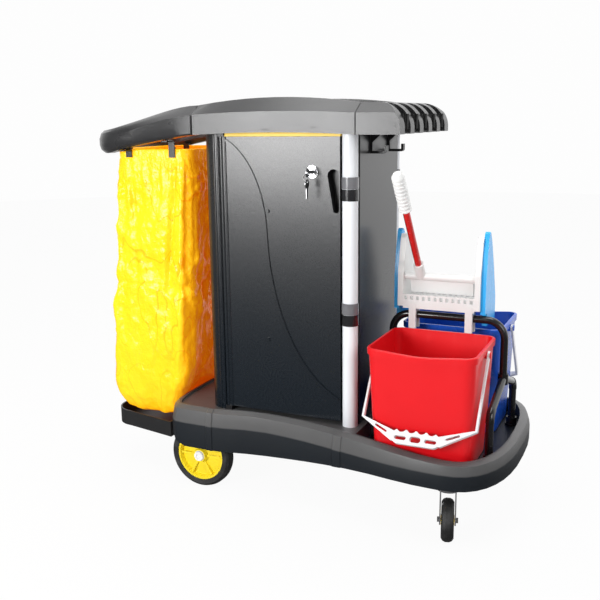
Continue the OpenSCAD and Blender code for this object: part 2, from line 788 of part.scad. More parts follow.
// The cam's corner swings past the finger pull with this gap
cam_gap = 2;
cam_reach = pull_upper[0] - pull_upper[2] - pull_wall - lock_x - cam_gap;
cam_l = sqrt(pow(cam_reach, 2) - pow(plug_d / 2, 2));
rosette_t = 3;
module lock_housing() {
    back_y = cab_front_y + door_t;
    color(steel) translate([lock_x, 0, lock_z]) difference() {
        union() {
            along_y(cab_front_y - rosette_t, cab_front_y, rosette_d);
            along_y(cab_front_y - weld, cab_front_y + lock_reach, lock_barrel_d);
            along_y(back_y, back_y + lock_nut_t, rosette_d - 2);
        }
        along_y(cab_front_y - rosette_t - 1, cab_front_y + lock_reach + 1, plug_d + 2 * run_fit);
    }
}
plug_face_y = cab_front_y - rosette_t - 1;
module lock_plug() {
    cam_y = cab_front_y + lock_reach + side_gap;
    color(steel) translate([lock_x, 0, lock_z]) {
        along_y(plug_face_y, cam_y + cam_t, plug_d);
        along_y(cam_y, cam_y + cam_t, plug_d + 4);
        translate([-plug_d / 2, cam_y, -cam_l]) cube([plug_d, cam_t, cam_l]);
    }
}

key_t = 2;
bow_d = 22;
key_hole_d = 6;
ring_r = 9;
ring_wire = 2;
module key_plate(blade) {
    rotate([90, 0, 90]) translate([0, 0, -key_t / 2]) linear_extrude(key_t) difference() {
        union() {
            circle(d = bow_d);
            translate([-4, -bow_d / 2 - blade]) square([8, blade + bow_d / 2]);
        }
        translate([0, bow_d / 2 - key_hole_d]) circle(d = key_hole_d);
    }
}
module key_set() {
    blade = 14;
    bow_y = plug_face_y - blade - bow_d / 2;
    hole_y = bow_y - bow_d / 2 + key_hole_d;
    ring_z = -key_hole_d / 2 + ring_wire / 2 + side_gap;
    low_z = ring_z - 2 * ring_r;
    color(steel) translate([lock_x, 0, lock_z]) {
        translate([0, bow_y, 0]) rotate([90, 0, 0]) key_plate(blade);
        translate([0, hole_y, ring_z - ring_r]) rotate([90, 0, 0]) rotate_extrude()
            translate([ring_r, 0]) circle(d = ring_wire);
        translate([0, hole_y, low_z + ring_wire / 2 + side_gap - key_hole_d / 2
            - (bow_d / 2 - key_hole_d)]) key_plate(24);
    }
}

// Top cover: three moulded sections that meet at grooves
rack_set = 13;
cover_x0 = cab_left_x;
cover_x1 = cab_right_x + rack_set;
cover_mid = (cover_x0 + cover_x1) / 2;
cover_half_l = (cover_x1 - cover_x0) / 2;
crest_fall = 16;
cover_end_z = cover_top_z - crest_fall;
inner_half_w = cover_half_w - cover_slope - cover_crest;
function arch(x) = 1 - pow((x - cover_mid) / cover_half_l, 2);
function side_section(x, g) =
    let (
        zl = cover_low_z + cover_arch * arch(x),
        zb = cover_band_z + cover_arch * arch(x),
        zc = cover_end_z + crest_fall * arch(x) - g,
        lip = cover_half_w - cover_wall)
    [for (p = [[cover_half_w - g, zl], [cover_half_w - g, zb],
               [cover_half_w - cover_slope, zc], [inner_half_w, zc],
               [inner_half_w, cab_top_z], [lip, cab_top_z], [lip, zl]])
        [x, p[0], p[1]]];
side_rings = concat(
    [side_section(cover_x0, groove)],
    [for (i = [0 : 10])
        side_section(lerp(cover_x0 + groove, cover_x1 - groove, i / 10), 0)],
    [side_section(cover_x1, groove)]);

module centre_tray() {
    wall_h = cover_band_z + 12 - cab_top_z;
    // The floor and end walls run into the side rails, clear of the rails' own faces
    lap = 4;
    lift = 0.5;
    half_w = inner_half_w + lap;
    color(charcoal) {
        loft(side_rings);
        mirror([0, 1, 0]) loft(side_rings);
        translate([cover_x0 + lift, -half_w, cab_top_z + lift])
            cube([2 * (cover_half_l - lift), 2 * half_w, tray_floor_t - lift]);
        for (x = [cover_x0 + lift, cover_x1 - lift - cover_wall])
            translate([x, -half_w, cab_top_z + 2 * lift])
                cube([cover_wall, 2 * half_w, wall_h]);
    }
}

// Push handle: a bar swept round the bag's mouth, drooping to its nose
handle_bend_x = -430;
handle_taper = 13;
handle_power = 2.6;
nose_top_z = nose_low_z + nose_h;
function handle_run(x, l) = clamp01((cover_x0 - x) / l);
function handle_low(x) =
    cover_low_z - (cover_low_z - nose_low_z) * pow(handle_run(x, 290), 1.25);
function handle_crest(x) =
    cover_end_z - (cover_end_z - nose_top_z) * smooth(handle_run(x, 330));
function handle_half(x) = cover_half_w - handle_taper * smooth(handle_run(x, 200));
bend_half_w = cover_half_w - handle_taper;
handle_side = [for (i = [0 : 7]) let (x = lerp(cover_x0 - groove, handle_bend_x, i / 8))
    [x, handle_half(x)]];
handle_path = concat(
    [[cover_x0, cover_half_w]],
    handle_side,
    [for (a = [90 : -10 : -90])
        [handle_bend_x - (handle_bend_x + base_half_l) * squared_cos(a, handle_power),
         sign(a) * bend_half_w * squared_sin(abs(a), handle_power)]],
    [for (i = [len(handle_side) - 1 : -1 : 0]) [handle_side[i][0], -handle_side[i][1]]],
    [[cover_x0, -cover_half_w]]);
function handle_normal(i) =
    let (
        n = len(handle_path),
        d = unit(handle_path[min(n - 1, i + 1)] - handle_path[max(0, i - 1)]),
        end = i == 0 || i == n - 1)
    end ? [0, i == 0 ? 1 : -1] : [d[1], -d[0]];
function handle_section_at(i) =
    let (
        n = len(handle_path),
        p = handle_path[i],
        g = i == 0 || i == n - 1 ? groove : 0,
        s = smooth(handle_run(p[0], 300)),
        depth = lerp(cover_slope + cover_crest, nose_d, s),
        zl = handle_low(p[0]),
        zc = handle_crest(p[0]) - g,
        zm = zl + 0.66 * (zc - zl))
    [for (q = [[depth, zc - 18 * s], [lerp(cover_slope, 0.62 * nose_d, s), zc],
               [lerp(24, 0.3 * nose_d, s), lerp(lerp(zm, zc, 0.65), zc - 3, s)],
               [lerp(12, 5, s), lerp(lerp(zm, zc, 0.33), zc - 11, s)],
               [g, lerp(zm, zc - 25, s)], [g, zl + lerp(4, 20, s)],
               [g + lerp(1, 4, s), zl + lerp(2, 8, s)], [g + lerp(2, 14, s), zl],
               [depth - lerp(2, 13, s), zl], [depth, zl + lerp(2, 16, s)]])
        let (xy = p - q[0] * handle_normal(i)) [xy[0], xy[1], q[1]]];

module handle_section() {
    color(charcoal) loft([for (i = [0 : len(handle_path) - 1]) handle_section_at(i)]);
}

// Tool rack: rounded nose with open slots
rack_end_x = cover_x1 + rack_l;
slot_root_x = rack_end_x - slot_l;
slot_ys = [for (i = [0 : slot_n - 1]) (i - (slot_n - 1) / 2) * slot_pitch];
rack_roof_t = 8;
module rack_nose() {
    rotate([90, 0, 0]) translate([0, 0, -cover_half_w]) linear_extrude(2 * cover_half_w) {
        translate([cover_x1, cover_low_z]) square([rack_l - rack_r, cover_end_z - cover_low_z]);
        translate([cover_x1, cover_low_z]) square([rack_l, cover_end_z - cover_low_z - rack_r]);
        translate([rack_end_x - rack_r, cover_end_z - rack_r]) circle(rack_r);
    }
}
module rack_sides() {
    translate([cover_x1, 0, 0]) rotate([90, 0, 90]) linear_extrude(rack_l + 1)
        polygon([for (s = [1, -1], p = s > 0
            ? [[cover_half_w, cover_low_z], [cover_half_w, cover_band_z],
               [cover_half_w - cover_slope, cover_end_z]]
            : [[cover_half_w - cover_slope, cover_end_z], [cover_half_w, cover_band_z],
               [cover_half_w, cover_low_z]])
            [s * p[0], p[1]]]);
}
module tool_rack() {
    color(charcoal) difference() {
        intersection() {
            rack_nose();
            rack_sides();
        }
        translate([cover_x1 + cover_wall, -cover_half_w + cover_wall, cover_low_z - 1])
            cube([slot_root_x - cover_x1 - 2 * cover_wall, 2 * (cover_half_w - cover_wall),
                  cover_band_z - cover_low_z]);
        for (y = slot_ys) translate([0, y, cover_low_z - 1]) {
            translate([slot_root_x + slot_w / 2, 0, 0]) cylinder(h = cover_end_z, d = slot_w);
            translate([slot_root_x + slot_w / 2, -slot_w / 2, 0])
                cube([slot_l, slot_w, cover_end_z]);
        }
    }
}

grip_low_z = cover_low_z + 10;
grip_high_z = cover_band_z - 4;
grip_teeth = 4;
module grip_plan() {
    x0 = slot_root_x + slot_w / 2 + 1;
    tooth = (rack_end_x - 4 - x0) / grip_teeth;
    polygon(concat([[x0, 0]],
        [for (i = [0 : grip_teeth - 1], p = [[0.15, grip_t - 3], [0.5, grip_t], [0.85, grip_t - 3]])
            [x0 + (i + p[0]) * tooth, p[1]]],
        [[x0 + grip_teeth * tooth, 0]]));
}
module tool_grips() {
    color("#6d7278") for (y = slot_ys, s = [-1, 1])
        translate([0, y - s * slot_w / 2, grip_low_z]) mirror([0, s < 0 ? 1 : 0, 0])
            linear_extrude(grip_high_z - grip_low_z) grip_plan();
}

// Two hooks on the end panel under the rack
hook_ys = [-65, 65];
hook_w = 14;
hook_t = 6;
hook_out = 42;
hook_low_z = 893;
hook_tip_z = 912;
module utility_hooks() {
    color(plastic_black) for (y = hook_ys) translate([cab_right_x, y + hook_w / 2, 0])
        rotate([90, 0, 0]) linear_extrude(hook_w) {
            translate([0, hook_low_z + hook_t]) square([hook_t, cover_low_z - hook_low_z - hook_t]);
            translate([0, hook_low_z]) square([hook_out - hook_t, hook_t]);
            translate([hook_out - hook_t, hook_low_z + hook_t])
                square([hook_t, hook_tip_z - hook_low_z - hook_t]);
            intersection() {
                translate([hook_out - hook_t, hook_low_z + hook_t]) circle(hook_t);
                translate([hook_out - hook_t, hook_low_z]) square(hook_t);
            }
            translate([0, hook_low_z]) square([hook_t, hook_t + weld]);
            polygon([[0, cover_low_z], [hook_out - 12, cover_low_z], [hook_t, hook_tip_z + 8]]);
        }
}

// Waste bag: a hanging sack with an open mouth
bag_right_x = -273;
bag_left_x = bag_right_x - bag_l;
bag_r = 34;
bag_hem = 27;
function rounded_ring(x0, x1, y0, y1, z, r, steps) = [
    for (c = [[x1 - r, y1 - r, 0], [x0 + r, y1 - r, 90], [x0 + r, y0 + r, 180], [x1 - r, y0 + r, 270]],
         i = [0 : steps])
        let (a = c[2] + i * 90 / steps) [c[0] + r * cos(a), c[1] + r * sin(a), z]];
// Height, growth to the left, growth to the right, growth to each side
bag_swell = [
    [bag_low_z, 15, -102, -39], [bag_low_z + 10, 40, -89, -16], [bag_low_z + 49, 58, -84, 6],
    [bag_low_z + 96, 63, -49, 14], [350, 57, -32, 16], [500, 43, -23, 15], [700, 23, -13, 11],
    [bag_top_z - bag_hem - 16, 3, -2, 3], [bag_top_z - bag_hem, 0, 0, 0], [bag_top_z, 0, 0, 0]];
function bag_ring(level, inset, lift) =
    rounded_ring(bag_left_x - level[1] + inset, bag_right_x + level[2] - inset,
        -bag_half_w - level[3] + inset, bag_half_w + level[3] - inset,
        level[0] + lift, bag_r - inset, 5);
module waste_bag() {
    n = len(bag_swell);
    color(bag_yellow) loft(concat(
        [for (s = bag_swell) bag_ring(s, 0, 0)],
        [for (i = [n - 1 : -1 : 0]) bag_ring(bag_swell[i], bag_wall, i < 3 ? bag_wall : 0)]));
}

// Clips that hang the bag's hem from the handle's arms
clip_xs = [-320, -455];
clip_w = 18;
clip_t = 3;
clip_low_z = 882;
module bag_clips() {
    outer_y = bag_half_w + side_gap;
    inner_y = bag_half_w - bag_wall - side_gap;
    cap_z = bag_top_z + side_gap;
    arm_y = cover_half_w - 25;
    color(plastic_black) for (x = clip_xs, side = [0, 1]) mirror([0, side, 0]) {
        seat_z = handle_low(x - clip_w / 2) - 3 * side_gap;
        translate([x - clip_w / 2, outer_y, clip_low_z])
            cube([clip_w, clip_t, max(seat_z, cap_z + clip_t) - clip_low_z]);
        translate([x - clip_w / 2, inner_y - clip_t, cap_z])
            cube([clip_w, outer_y + clip_t - inner_y + clip_t, clip_t]);
        translate([x - clip_w / 2, inner_y - clip_t, cap_z - 12]) cube([clip_w, clip_t, 12 + clip_t]);
        translate([x - clip_w / 2, outer_y, seat_z - clip_t])
            cube([clip_w, arm_y - outer_y, clip_t]);
    }
}

// Tube frame between the buckets
frame_left_x = bucket_x - frame_l / 2;
frame_right_x = bucket_x + frame_l / 2;
knee_bend = 28;
knee_z = fork_z - leg_drop;
leg_slope = atan(leg_drop / foot_y);
knee_run = knee_bend * tan((90 - leg_slope) / 2);
foot_seat = 3;
// The knees are bent sleeves that the sloped tubes and the legs end inside
knee_d = tube_d + 2;
knee_lap = 2;
// The welded fork is a collar that the three tubes start inside
fork_collar_d = tube_d + 7;
fork_collar_low = 15;
fork_collar_h = 27;
fork_start = 0.38 * tube_d;
module tube_elbow(bend, angle, d) {
    rotate_extrude(angle = angle) translate([bend, 0]) circle(d = d);
}
module spread_leg() {
    leg_l = norm([foot_y, leg_drop]) - knee_run;
    translate([0, 0, fork_z]) rotate([-90 - leg_slope, 0, 0]) translate([0, 0, fork_start])
        cylinder(h = leg_l - fork_start + knee_lap, d = tube_d);
    translate([0, foot_y - knee_bend, knee_z - knee_run]) rotate([90, 0, 90])
        tube_elbow(knee_bend, 90 - leg_slope, knee_d);
    translate([0, foot_y, deck_z + foot_seat])
        cylinder(h = knee_z - knee_run - deck_z - foot_seat + knee_lap, d = tube_d);
}
module frame_end() {
    translate([0, 0, fork_z - fork_collar_low]) cylinder(h = fork_collar_h, d = fork_collar_d);
    translate([0, 0, fork_z + fork_start])
        cylinder(h = bar_z - tube_bend - fork_z - fork_start, d = tube_d);
    spread_leg();
    mirror([0, 1, 0]) spread_leg();
}
module bucket_frame() {
    color(plastic_black) {
        translate([0, 0, bar_z])
            along_x(frame_left_x + tube_bend, frame_right_x - tube_bend, tube_d);
        translate([frame_right_x - tube_bend, 0, bar_z - tube_bend]) rotate([90, 0, 0])
            tube_elbow(tube_bend, 90, tube_d);
        translate([frame_left_x + tube_bend, 0, bar_z - tube_bend]) mirror([1, 0, 0])
            rotate([90, 0, 0]) tube_elbow(tube_bend, 90, tube_d);
        for (x = [frame_left_x, frame_right_x]) translate([x, 0, 0]) frame_end();
    }
}
module frame_feet() {
    collar_h = 22;
    flange_h = 5;
    color(plastic_black) for (x = [frame_left_x, frame_right_x], y = [-foot_y, foot_y])
        translate([x, y, deck_z]) difference() {
            union() {
                cylinder(h = flange_h, d = foot_d);
                cylinder(h = collar_h, d = foot_d - 7);
            }
            translate([0, 0, foot_seat]) cylinder(h = collar_h, d = tube_d + 2 * run_fit);
        }
}

// Buckets: local frame at the middle of the bottom
bucket_y = bucket_gap + bucket_w / 2;
bail_z = bucket_h - bail_drop;
step_h = 92;
step_out = 2;
lip_h = 16;
boss_x = bucket_l / 2 + 1;
pin_head_t = 3;
// A straight side of a bucket ring, with points between its ends to bend the rim
side_steps = 8;
function ring_side(x0, x1, y) = [for (i = [1 : side_steps - 1]) [lerp(x0, x1, i / side_steps), y]];
function rim_wave(p, hx, hy) =
    rim_dip * pow(sin(90 * (1 + p[0] / hx)), 2) * smooth((-p[1] / hy - 0.7) / 0.3);
function bucket_ring(z, grow, dip = 0) =
    let (
        t = 1 - z / bucket_h,
        hx = bucket_l / 2 - bucket_rim - t * bucket_taper / 2 + grow,
        hy = bucket_w / 2 - bucket_rim - t * bucket_taper + grow,
        r = bucket_r + grow,
        corners = rounded_ring(-hx, hx, -hy, hy, z, r, 5),
        plan = concat(
            [for (i = [0 : 17]) corners[i]],
            ring_side(r - hx, hx - r, -hy),
            [for (i = [18 : 23]) corners[i]]))
    [for (p = plan) [p[0], p[1], z - dip * rim_wave(p, hx, hy)]];
module bucket() {
    in = -bucket_wall;
    loft([
        bucket_ring(0, -3), bucket_ring(3, 0), bucket_ring(step_h - 4, 0),
        bucket_ring(step_h, step_out), bucket_ring(bucket_h - lip_h, step_out, 1),
        bucket_ring(bucket_h - lip_h + 0.5, bucket_rim, 1), bucket_ring(bucket_h - 2, bucket_rim, 1),
        bucket_ring(bucket_h, bucket_rim - 2, 1), bucket_ring(bucket_h, step_out + in, 1),
        bucket_ring(step_h, step_out + in), bucket_ring(step_h - 4, in),
        bucket_ring(3 + bucket_wall, in), bucket_ring(bucket_wall, in - 3)]);
    for (side = [0, 1]) mirror([side, 0, 0]) translate([0, 0, bail_z]) {
        along_x(bucket_l / 2 - bucket_rim - bucket_wall / 2, boss_x, bail_pin_d + 8);
        along_x(boss_x - weld, boss_x + bail_arm + 2 * side_gap + weld, bail_pin_d);
        translate([boss_x + bail_arm + 2 * side_gap, 0, 0])
            along_x(0, pin_head_t, bail_pin_d + 5);
    }
}
module at_bucket(side) {
    translate([bucket_x, side * bucket_y, deck_z]) children();
}
module red_bucket() {
    color(bucket_red) at_bucket(-1) bucket();
}
module blue_bucket() {
    color(bucket_blue) at_bucket(1) mirror([0, 1, 0]) bucket();
}

// Bail: a flat hoop with a wide grip, hung from the pivots
bail_bar = 22;
grip_half = 56;
bail_knee = 0.84 * bail_reach;
slot_at = 0.6;
module bail_plan() {
    inner = boss_x + side_gap;
    outer = inner + bail_arm;
    high = -bail_reach + bail_bar / 2;
    low = -bail_reach - bail_bar / 2;
    lean = atan2(bail_knee + low, outer - grip_half);
    difference() {
        union() {
            polygon([
                [-outer, 0], [-outer, -bail_knee], [-grip_half - 3, low], [grip_half + 3, low],
                [outer, -bail_knee], [outer, 0], [inner, 0], [inner, -bail_knee + 2],
                [grip_half - 5, high], [5 - grip_half, high], [-inner, -bail_knee + 2], [-inner, 0]]);
            rounded_plan(-grip_half, grip_half, -bail_reach - 17, -bail_reach + 17, 15);
        }
        for (side = [0, 1]) mirror([side, 0])
            translate([lerp(outer, grip_half, slot_at) - 3, lerp(-bail_knee, -bail_reach, slot_at)])
                rotate(-0.82 * lean) rounded_plan(-17, 17, -2.6, 2.6, 2.5);
        for (x = [-36, 36]) translate([x, -bail_reach - 3])
            rounded_plan(-14, 14, -4.5, 4.5, 4.4);
        translate([0, -bail_reach - 3]) rounded_plan(-13, 13, -7, 7, 6.9);
        for (i = [-1.5 : 1 : 1.5]) translate([i * 24, -bail_reach + 23]) circle(12);
    }
}
module bail() {
    inner = boss_x + side_gap;
    difference() {
        union() {
            translate([0, bail_w / 2, 0]) rotate([90, 0, 0]) linear_extrude(bail_w) bail_plan();
            for (side = [0, 1]) mirror([side, 0, 0]) along_x(inner, inner + bail_arm, bail_pin_d + 9);
        }
        along_x(-bucket_l, bucket_l, bail_pin_d + 2 * run_fit);
    }
}
module red_bail() {
    color(white_plastic) at_bucket(-1) translate([0, 0, bail_z]) rotate([-bail_rest, 0, 0]) bail();
}
module blue_bail() {
    color(white_plastic) at_bucket(1) translate([0, 0, bail_z]) rotate([bail_rest, 0, 0]) bail();
}

// Wringer on the top bar
cheek_inner_left = cheek_left_x + cheek_t;
cheek_inner_right = cheek_right_x - cheek_t;
chamber_l = cheek_inner_right - cheek_inner_left;
cheek_front_y = -18;
wringer_wall = 6;
floor_low_z = cheek_low_z + 11;
front_low_z = cheek_low_z - 5;
front_top_z = floor_low_z + 20;
saddle_w = 18;
saddle_half = tube_d / 2 + 9.5;
saddle_low_z = 450;
journal_d = 12;
tooth_n = 12;
drain_ys = [18, 44, 70];
module cheek_plan() {
    polygon([[cheek_front_y, cheek_low_z], [cheek_back_y, cheek_low_z],
             [cheek_back_y + 4, cheek_low_z + 20], [0.7 * cheek_back_y, cheek_low_z + 92],
             [34, cheek_top_z - 8], [24, cheek_top_z], [10, cheek_top_z], [2, cheek_top_z - 10],
             [-10, shaft_z + 38], [cheek_front_y, shaft_z + 12]]);
}
module sideways(x, d) {
    translate([x, 0, 0]) rotate([90, 0, 90]) linear_extrude(d) children();
}
module wringer_cheeks() {
    color(white_plastic) difference() {
        union() {
            sideways(cheek_left_x, cheek_t) cheek_plan();
            sideways(cheek_inner_right, cheek_t) cheek_plan();
        }
        translate([0, 0, shaft_z])
            along_x(cheek_left_x - 1, cheek_right_x + 1, journal_d + 2 * run_fit);
    }
}
module wringer_body() {
    tooth_pitch = chamber_l / tooth_n;
    x0 = cheek_inner_left + run_fit;
    pan_l = chamber_l - 2 * run_fit;
    color(white_plastic) difference() {
        union() {
            translate([x0, cheek_front_y, floor_low_z])
                cube([pan_l, cheek_back_y - cheek_front_y, wringer_wall]);
            translate([x0, cheek_front_y, front_low_z])
                cube([pan_l, wringer_wall, front_top_z - front_low_z]);
            translate([x0, cheek_back_y - wringer_wall, floor_low_z])
                cube([pan_l, wringer_wall, 2 * (front_top_z - floor_low_z)]);
            for (x = [cheek_inner_left + 16, cheek_inner_right - 4 - saddle_w])
                translate([x, -saddle_half, saddle_low_z])
                    cube([saddle_w, 2 * saddle_half, floor_low_z + weld - saddle_low_z]);
        }
        translate([0, 0, bar_z])
            along_x(cheek_inner_left, cheek_inner_right, tube_d + 2 * side_gap);
        translate([cheek_inner_left, -tube_d / 2 - side_gap, saddle_low_z - 1])
            cube([chamber_l, tube_d + 2 * side_gap, bar_z - saddle_low_z + 1]);
        for (i = [0 : tooth_n - 1]) {
            x = cheek_inner_left + (i + 0.5) * tooth_pitch;
            translate([x - tooth_pitch / 4, cheek_front_y - 1, front_top_z - 14])
                cube([tooth_pitch / 2, wringer_wall + 2, 10]);
            for (y = drain_ys) translate([x - tooth_pitch / 4, y, floor_low_z - 1])
                cube([tooth_pitch / 2, 16, wringer_wall + 2]);
        }
    }
}

shield_low_z = 468;
shield_top_z = cheek_top_z + 12;
module shield_plan() {
    clear_y = tube_d / 2 + 2.5;
    clear_z = bar_z + tube_d / 2 + 4.5;
    polygon([[clear_y, shield_low_z], [cheek_back_y + 4, shield_low_z],
             [cheek_back_y + 8, shield_low_z + 22], [cheek_back_y + 5, shield_low_z + 60],
             [0.76 * cheek_back_y, shield_low_z + 140], [44, shield_top_z - 24],
             [30, shield_top_z - 4], [22, shield_top_z], [14, shield_top_z - 4],
             [0, shaft_z + 60], [-9, shaft_z], [-9, clear_z], [clear_y, clear_z]]);
}
module wringer_shields() {
    color(shield_blue) {
        sideways(cheek_left_x - shield_t, shield_t) shield_plan();
        sideways(cheek_right_x, shield_t) shield_plan();
    }
}

socket_d = 26;
socket_l = 44;
lever_foot = 14;
module at_shaft(lean) {
    translate([0, 0, shaft_z]) rotate([lean, 0, 0]) children();
}
module rocking_shaft() {
    color(white_plastic) at_shaft(lever_lean) difference() {
        union() {
            along_x(cheek_inner_left + side_gap, cheek_inner_right - side_gap, shaft_d);
            along_x(cheek_left_x + side_gap, cheek_right_x - side_gap, journal_d);
            translate([lever_x, 0, 0]) cylinder(h = socket_l, d = socket_d);
        }
        translate([lever_x, 0, lever_foot]) cylinder(h = socket_l, d = lever_d + 2 * run_fit);
    }
}
press_t = 6;
press_turn = 25;
module press_plate() {
    x0 = cheek_inner_left + 14;
    x1 = cheek_inner_right - 8;
    color(white_plastic) at_shaft(lever_lean - press_turn) difference() {
        translate([x0, -press_t / 2, -press_reach]) cube([x1 - x0, press_t, press_reach]);
        along_x(x0 - 1, x1 + 1, shaft_d + 2 * run_fit);
        translate([x0 - 1, -press_t, -shaft_d / 4]) cube([x1 - x0 + 2, 2 * press_t, shaft_d]);
    }
}
lever_end_t = 6;
module lever_tube() {
    color(bucket_red) at_shaft(lever_lean) translate([lever_x, 0, lever_foot])
        cylinder(h = lever_l - lever_end_t - lever_foot, d = lever_d);
}
grip_ribs = 9;
module lever_grip() {
    rib = (lever_grip_l - 16) / grip_ribs;
    color(white_plastic) at_shaft(lever_lean) translate([lever_x, 0, lever_l - lever_grip_l])
        difference() {
            rotate_extrude() polygon(concat(
                [[0, 0], [lever_grip_d / 2 - 3, 0], [lever_grip_d / 2, 3]],
                [for (i = [0 : grip_ribs - 1], p = [[0.2, 0], [0.35, -2], [0.85, -2], [1, 0]])
                    [lever_grip_d / 2 + p[1], 4 + (i + p[0]) * rib]],
                [[lever_grip_d / 2 - 1, lever_grip_l - 8], [lever_grip_d / 2 - 6, lever_grip_l],
                 [0, lever_grip_l]]));
            translate([0, 0, -1])
                cylinder(h = lever_grip_l - lever_end_t + 1, d = lever_d + 2 * run_fit);
        }
}

base_platform();
base_floor();
bag_tray();
axle_brackets();
rear_axle();
rear_tyre(-1);  // wheel_near_tyre
rear_rim(-1);  // wheel_near_rim
rear_cap(-1);  // wheel_near_cap
rear_tyre(1);  // wheel_far_tyre
rear_rim(1);  // wheel_far_rim
rear_cap(1);  // wheel_far_cap
castor_plate(-1);  // castor_near_plate
castor_fork(-1);  // castor_near_fork
castor_axle(-1);  // castor_near_axle
castor_core(-1);  // castor_near_core
castor_tyre(-1);  // castor_near_tyre
castor_plate(1);  // castor_far_plate
castor_fork(1);  // castor_far_fork
castor_axle(1);  // castor_far_axle
castor_core(1);  // castor_far_core
castor_tyre(1);  // castor_far_tyre
cabinet_shell();
end_panel();
post(-1);  // post_near
post(1);  // post_far
post_bands(-1);  // post_bands_near
post_bands(1);  // post_bands_far
shelf(shelf_heights[0]);  // shelf_lower
shelf(shelf_heights[1]);  // shelf_upper
shelf_rails();
header_rail();
hinge_brackets();
hinge_pin();
door_panel();
door_pull();
lock_housing();
lock_plug();
key_set();
centre_tray();
handle_section();
tool_rack();
tool_grips();
utility_hooks();
bag_clips();
waste_bag();
bucket_frame();
frame_feet();
red_bucket();
red_bail();
blue_bucket();
blue_bail();
wringer_cheeks();
wringer_body();
wringer_shields();
rocking_shaft();
press_plate();
lever_tube();
lever_grip();
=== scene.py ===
# %% [markdown]
# # A janitor cart, dressed around its solids
# The solids come in as a fixed frame, in metres. Each rigid solid keeps its shape here and gets
# a finish of its own. The waste bag is soft, so it is made again as thin film that hangs and
# crumples.

import json
import math

import bmesh
import bpy
from mathutils import Matrix, Vector, noise


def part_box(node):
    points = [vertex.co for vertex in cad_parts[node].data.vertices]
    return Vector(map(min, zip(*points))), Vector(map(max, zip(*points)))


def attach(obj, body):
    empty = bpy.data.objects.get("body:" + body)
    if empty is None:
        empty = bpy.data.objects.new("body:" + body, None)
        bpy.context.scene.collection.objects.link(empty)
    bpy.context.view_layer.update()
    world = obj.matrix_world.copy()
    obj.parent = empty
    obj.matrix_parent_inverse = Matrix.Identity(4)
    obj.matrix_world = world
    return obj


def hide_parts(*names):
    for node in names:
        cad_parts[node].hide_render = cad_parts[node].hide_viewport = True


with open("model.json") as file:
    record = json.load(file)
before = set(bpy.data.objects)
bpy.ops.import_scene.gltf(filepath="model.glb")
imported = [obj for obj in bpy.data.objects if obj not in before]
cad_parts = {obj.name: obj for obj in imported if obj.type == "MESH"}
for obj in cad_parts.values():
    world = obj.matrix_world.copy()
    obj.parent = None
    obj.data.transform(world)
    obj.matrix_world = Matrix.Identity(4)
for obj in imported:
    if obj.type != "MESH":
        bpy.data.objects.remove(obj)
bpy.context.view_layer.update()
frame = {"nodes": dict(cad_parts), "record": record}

# %% [markdown]
# ## Camera
# The photograph is square. It was taken from the front right, from about the height of the
# cart's top, looking a little down. A camera can be aimed by eye, but then edges drift. Here its
# right, up and forward directions were found from the straight edges of the cart, so the frame
# of the render is the frame of the photograph.

# %% Place the camera
CAMERA_AT = (0.9079, -2.0276, 0.9833)
CAMERA_RIGHT = (0.9094, 0.4157, -0.0121)
CAMERA_UP = (-0.0779, 0.1988, 0.9770)
CAMERA_FORWARD = (-0.4085, 0.8875, -0.2131)
SENSOR_MM, LENS_MM = 36, 50.53


def in_scene(name, data):
    """Put a mesh, lamp or camera into the scene."""
    made = bpy.data.objects.new(name, data)
    bpy.context.scene.collection.objects.link(made)
    return made


camera_data = bpy.data.cameras.new("camera")
camera_data.sensor_fit = "HORIZONTAL"
camera_data.sensor_width = SENSOR_MM
camera_data.lens = LENS_MM
camera = in_scene("camera", camera_data)
turn = Matrix((CAMERA_RIGHT, CAMERA_UP, [-c for c in CAMERA_FORWARD])).transposed()
camera.matrix_world = Matrix.Translation(CAMERA_AT) @ turn.to_4x4()
bpy.context.scene.camera = camera
print("camera looks along", CAMERA_FORWARD)

# %% [markdown]
# ## Shader maths as Python
# A finish is a small graph of shader nodes. Wiring each node by hand hides the idea, so one
# class wraps a node's output and lets Python's operators add the Math nodes. Every other node
# comes from one method, which sets its settings first and then its sockets.

# %% Wrap a socket
def maths(operation, swap=False):
    def apply(self, other):
        first, second = (other, self) if swap else (self, other)
        return self.graph.node("ShaderNodeMath", {"operation": operation}, {0: first, 1: second})
    return apply


class Field:
    """A value that changes over a surface."""

    def __init__(self, graph, socket):
        self.graph = graph
        self.socket = socket

    __add__ = maths("ADD")
    __radd__ = maths("ADD", swap=True)
    __sub__ = maths("SUBTRACT")
    __rsub__ = maths("SUBTRACT", swap=True)
    __mul__ = maths("MULTIPLY")
    __rmul__ = maths("MULTIPLY", swap=True)
    __lt__ = maths("LESS_THAN")
    above = maths("MAXIMUM")


class Graph:
    """A tree of shader nodes, and the one method that adds to it."""

    def __init__(self, tree):
        self.tree = tree

    def node(self, kind, settings, sockets, output=0):
        made = self.tree.nodes.new(kind)
        for name, value in settings.items():
            setattr(made, name, value)
        for key, value in sockets.items():
            if isinstance(value, Field):
                self.tree.links.new(value.socket, made.inputs[key])
            else:
                made.inputs[key].default_value = value
        return Field(self, made.outputs[output])


print("a field adds Math nodes for +, -, *, < and above")

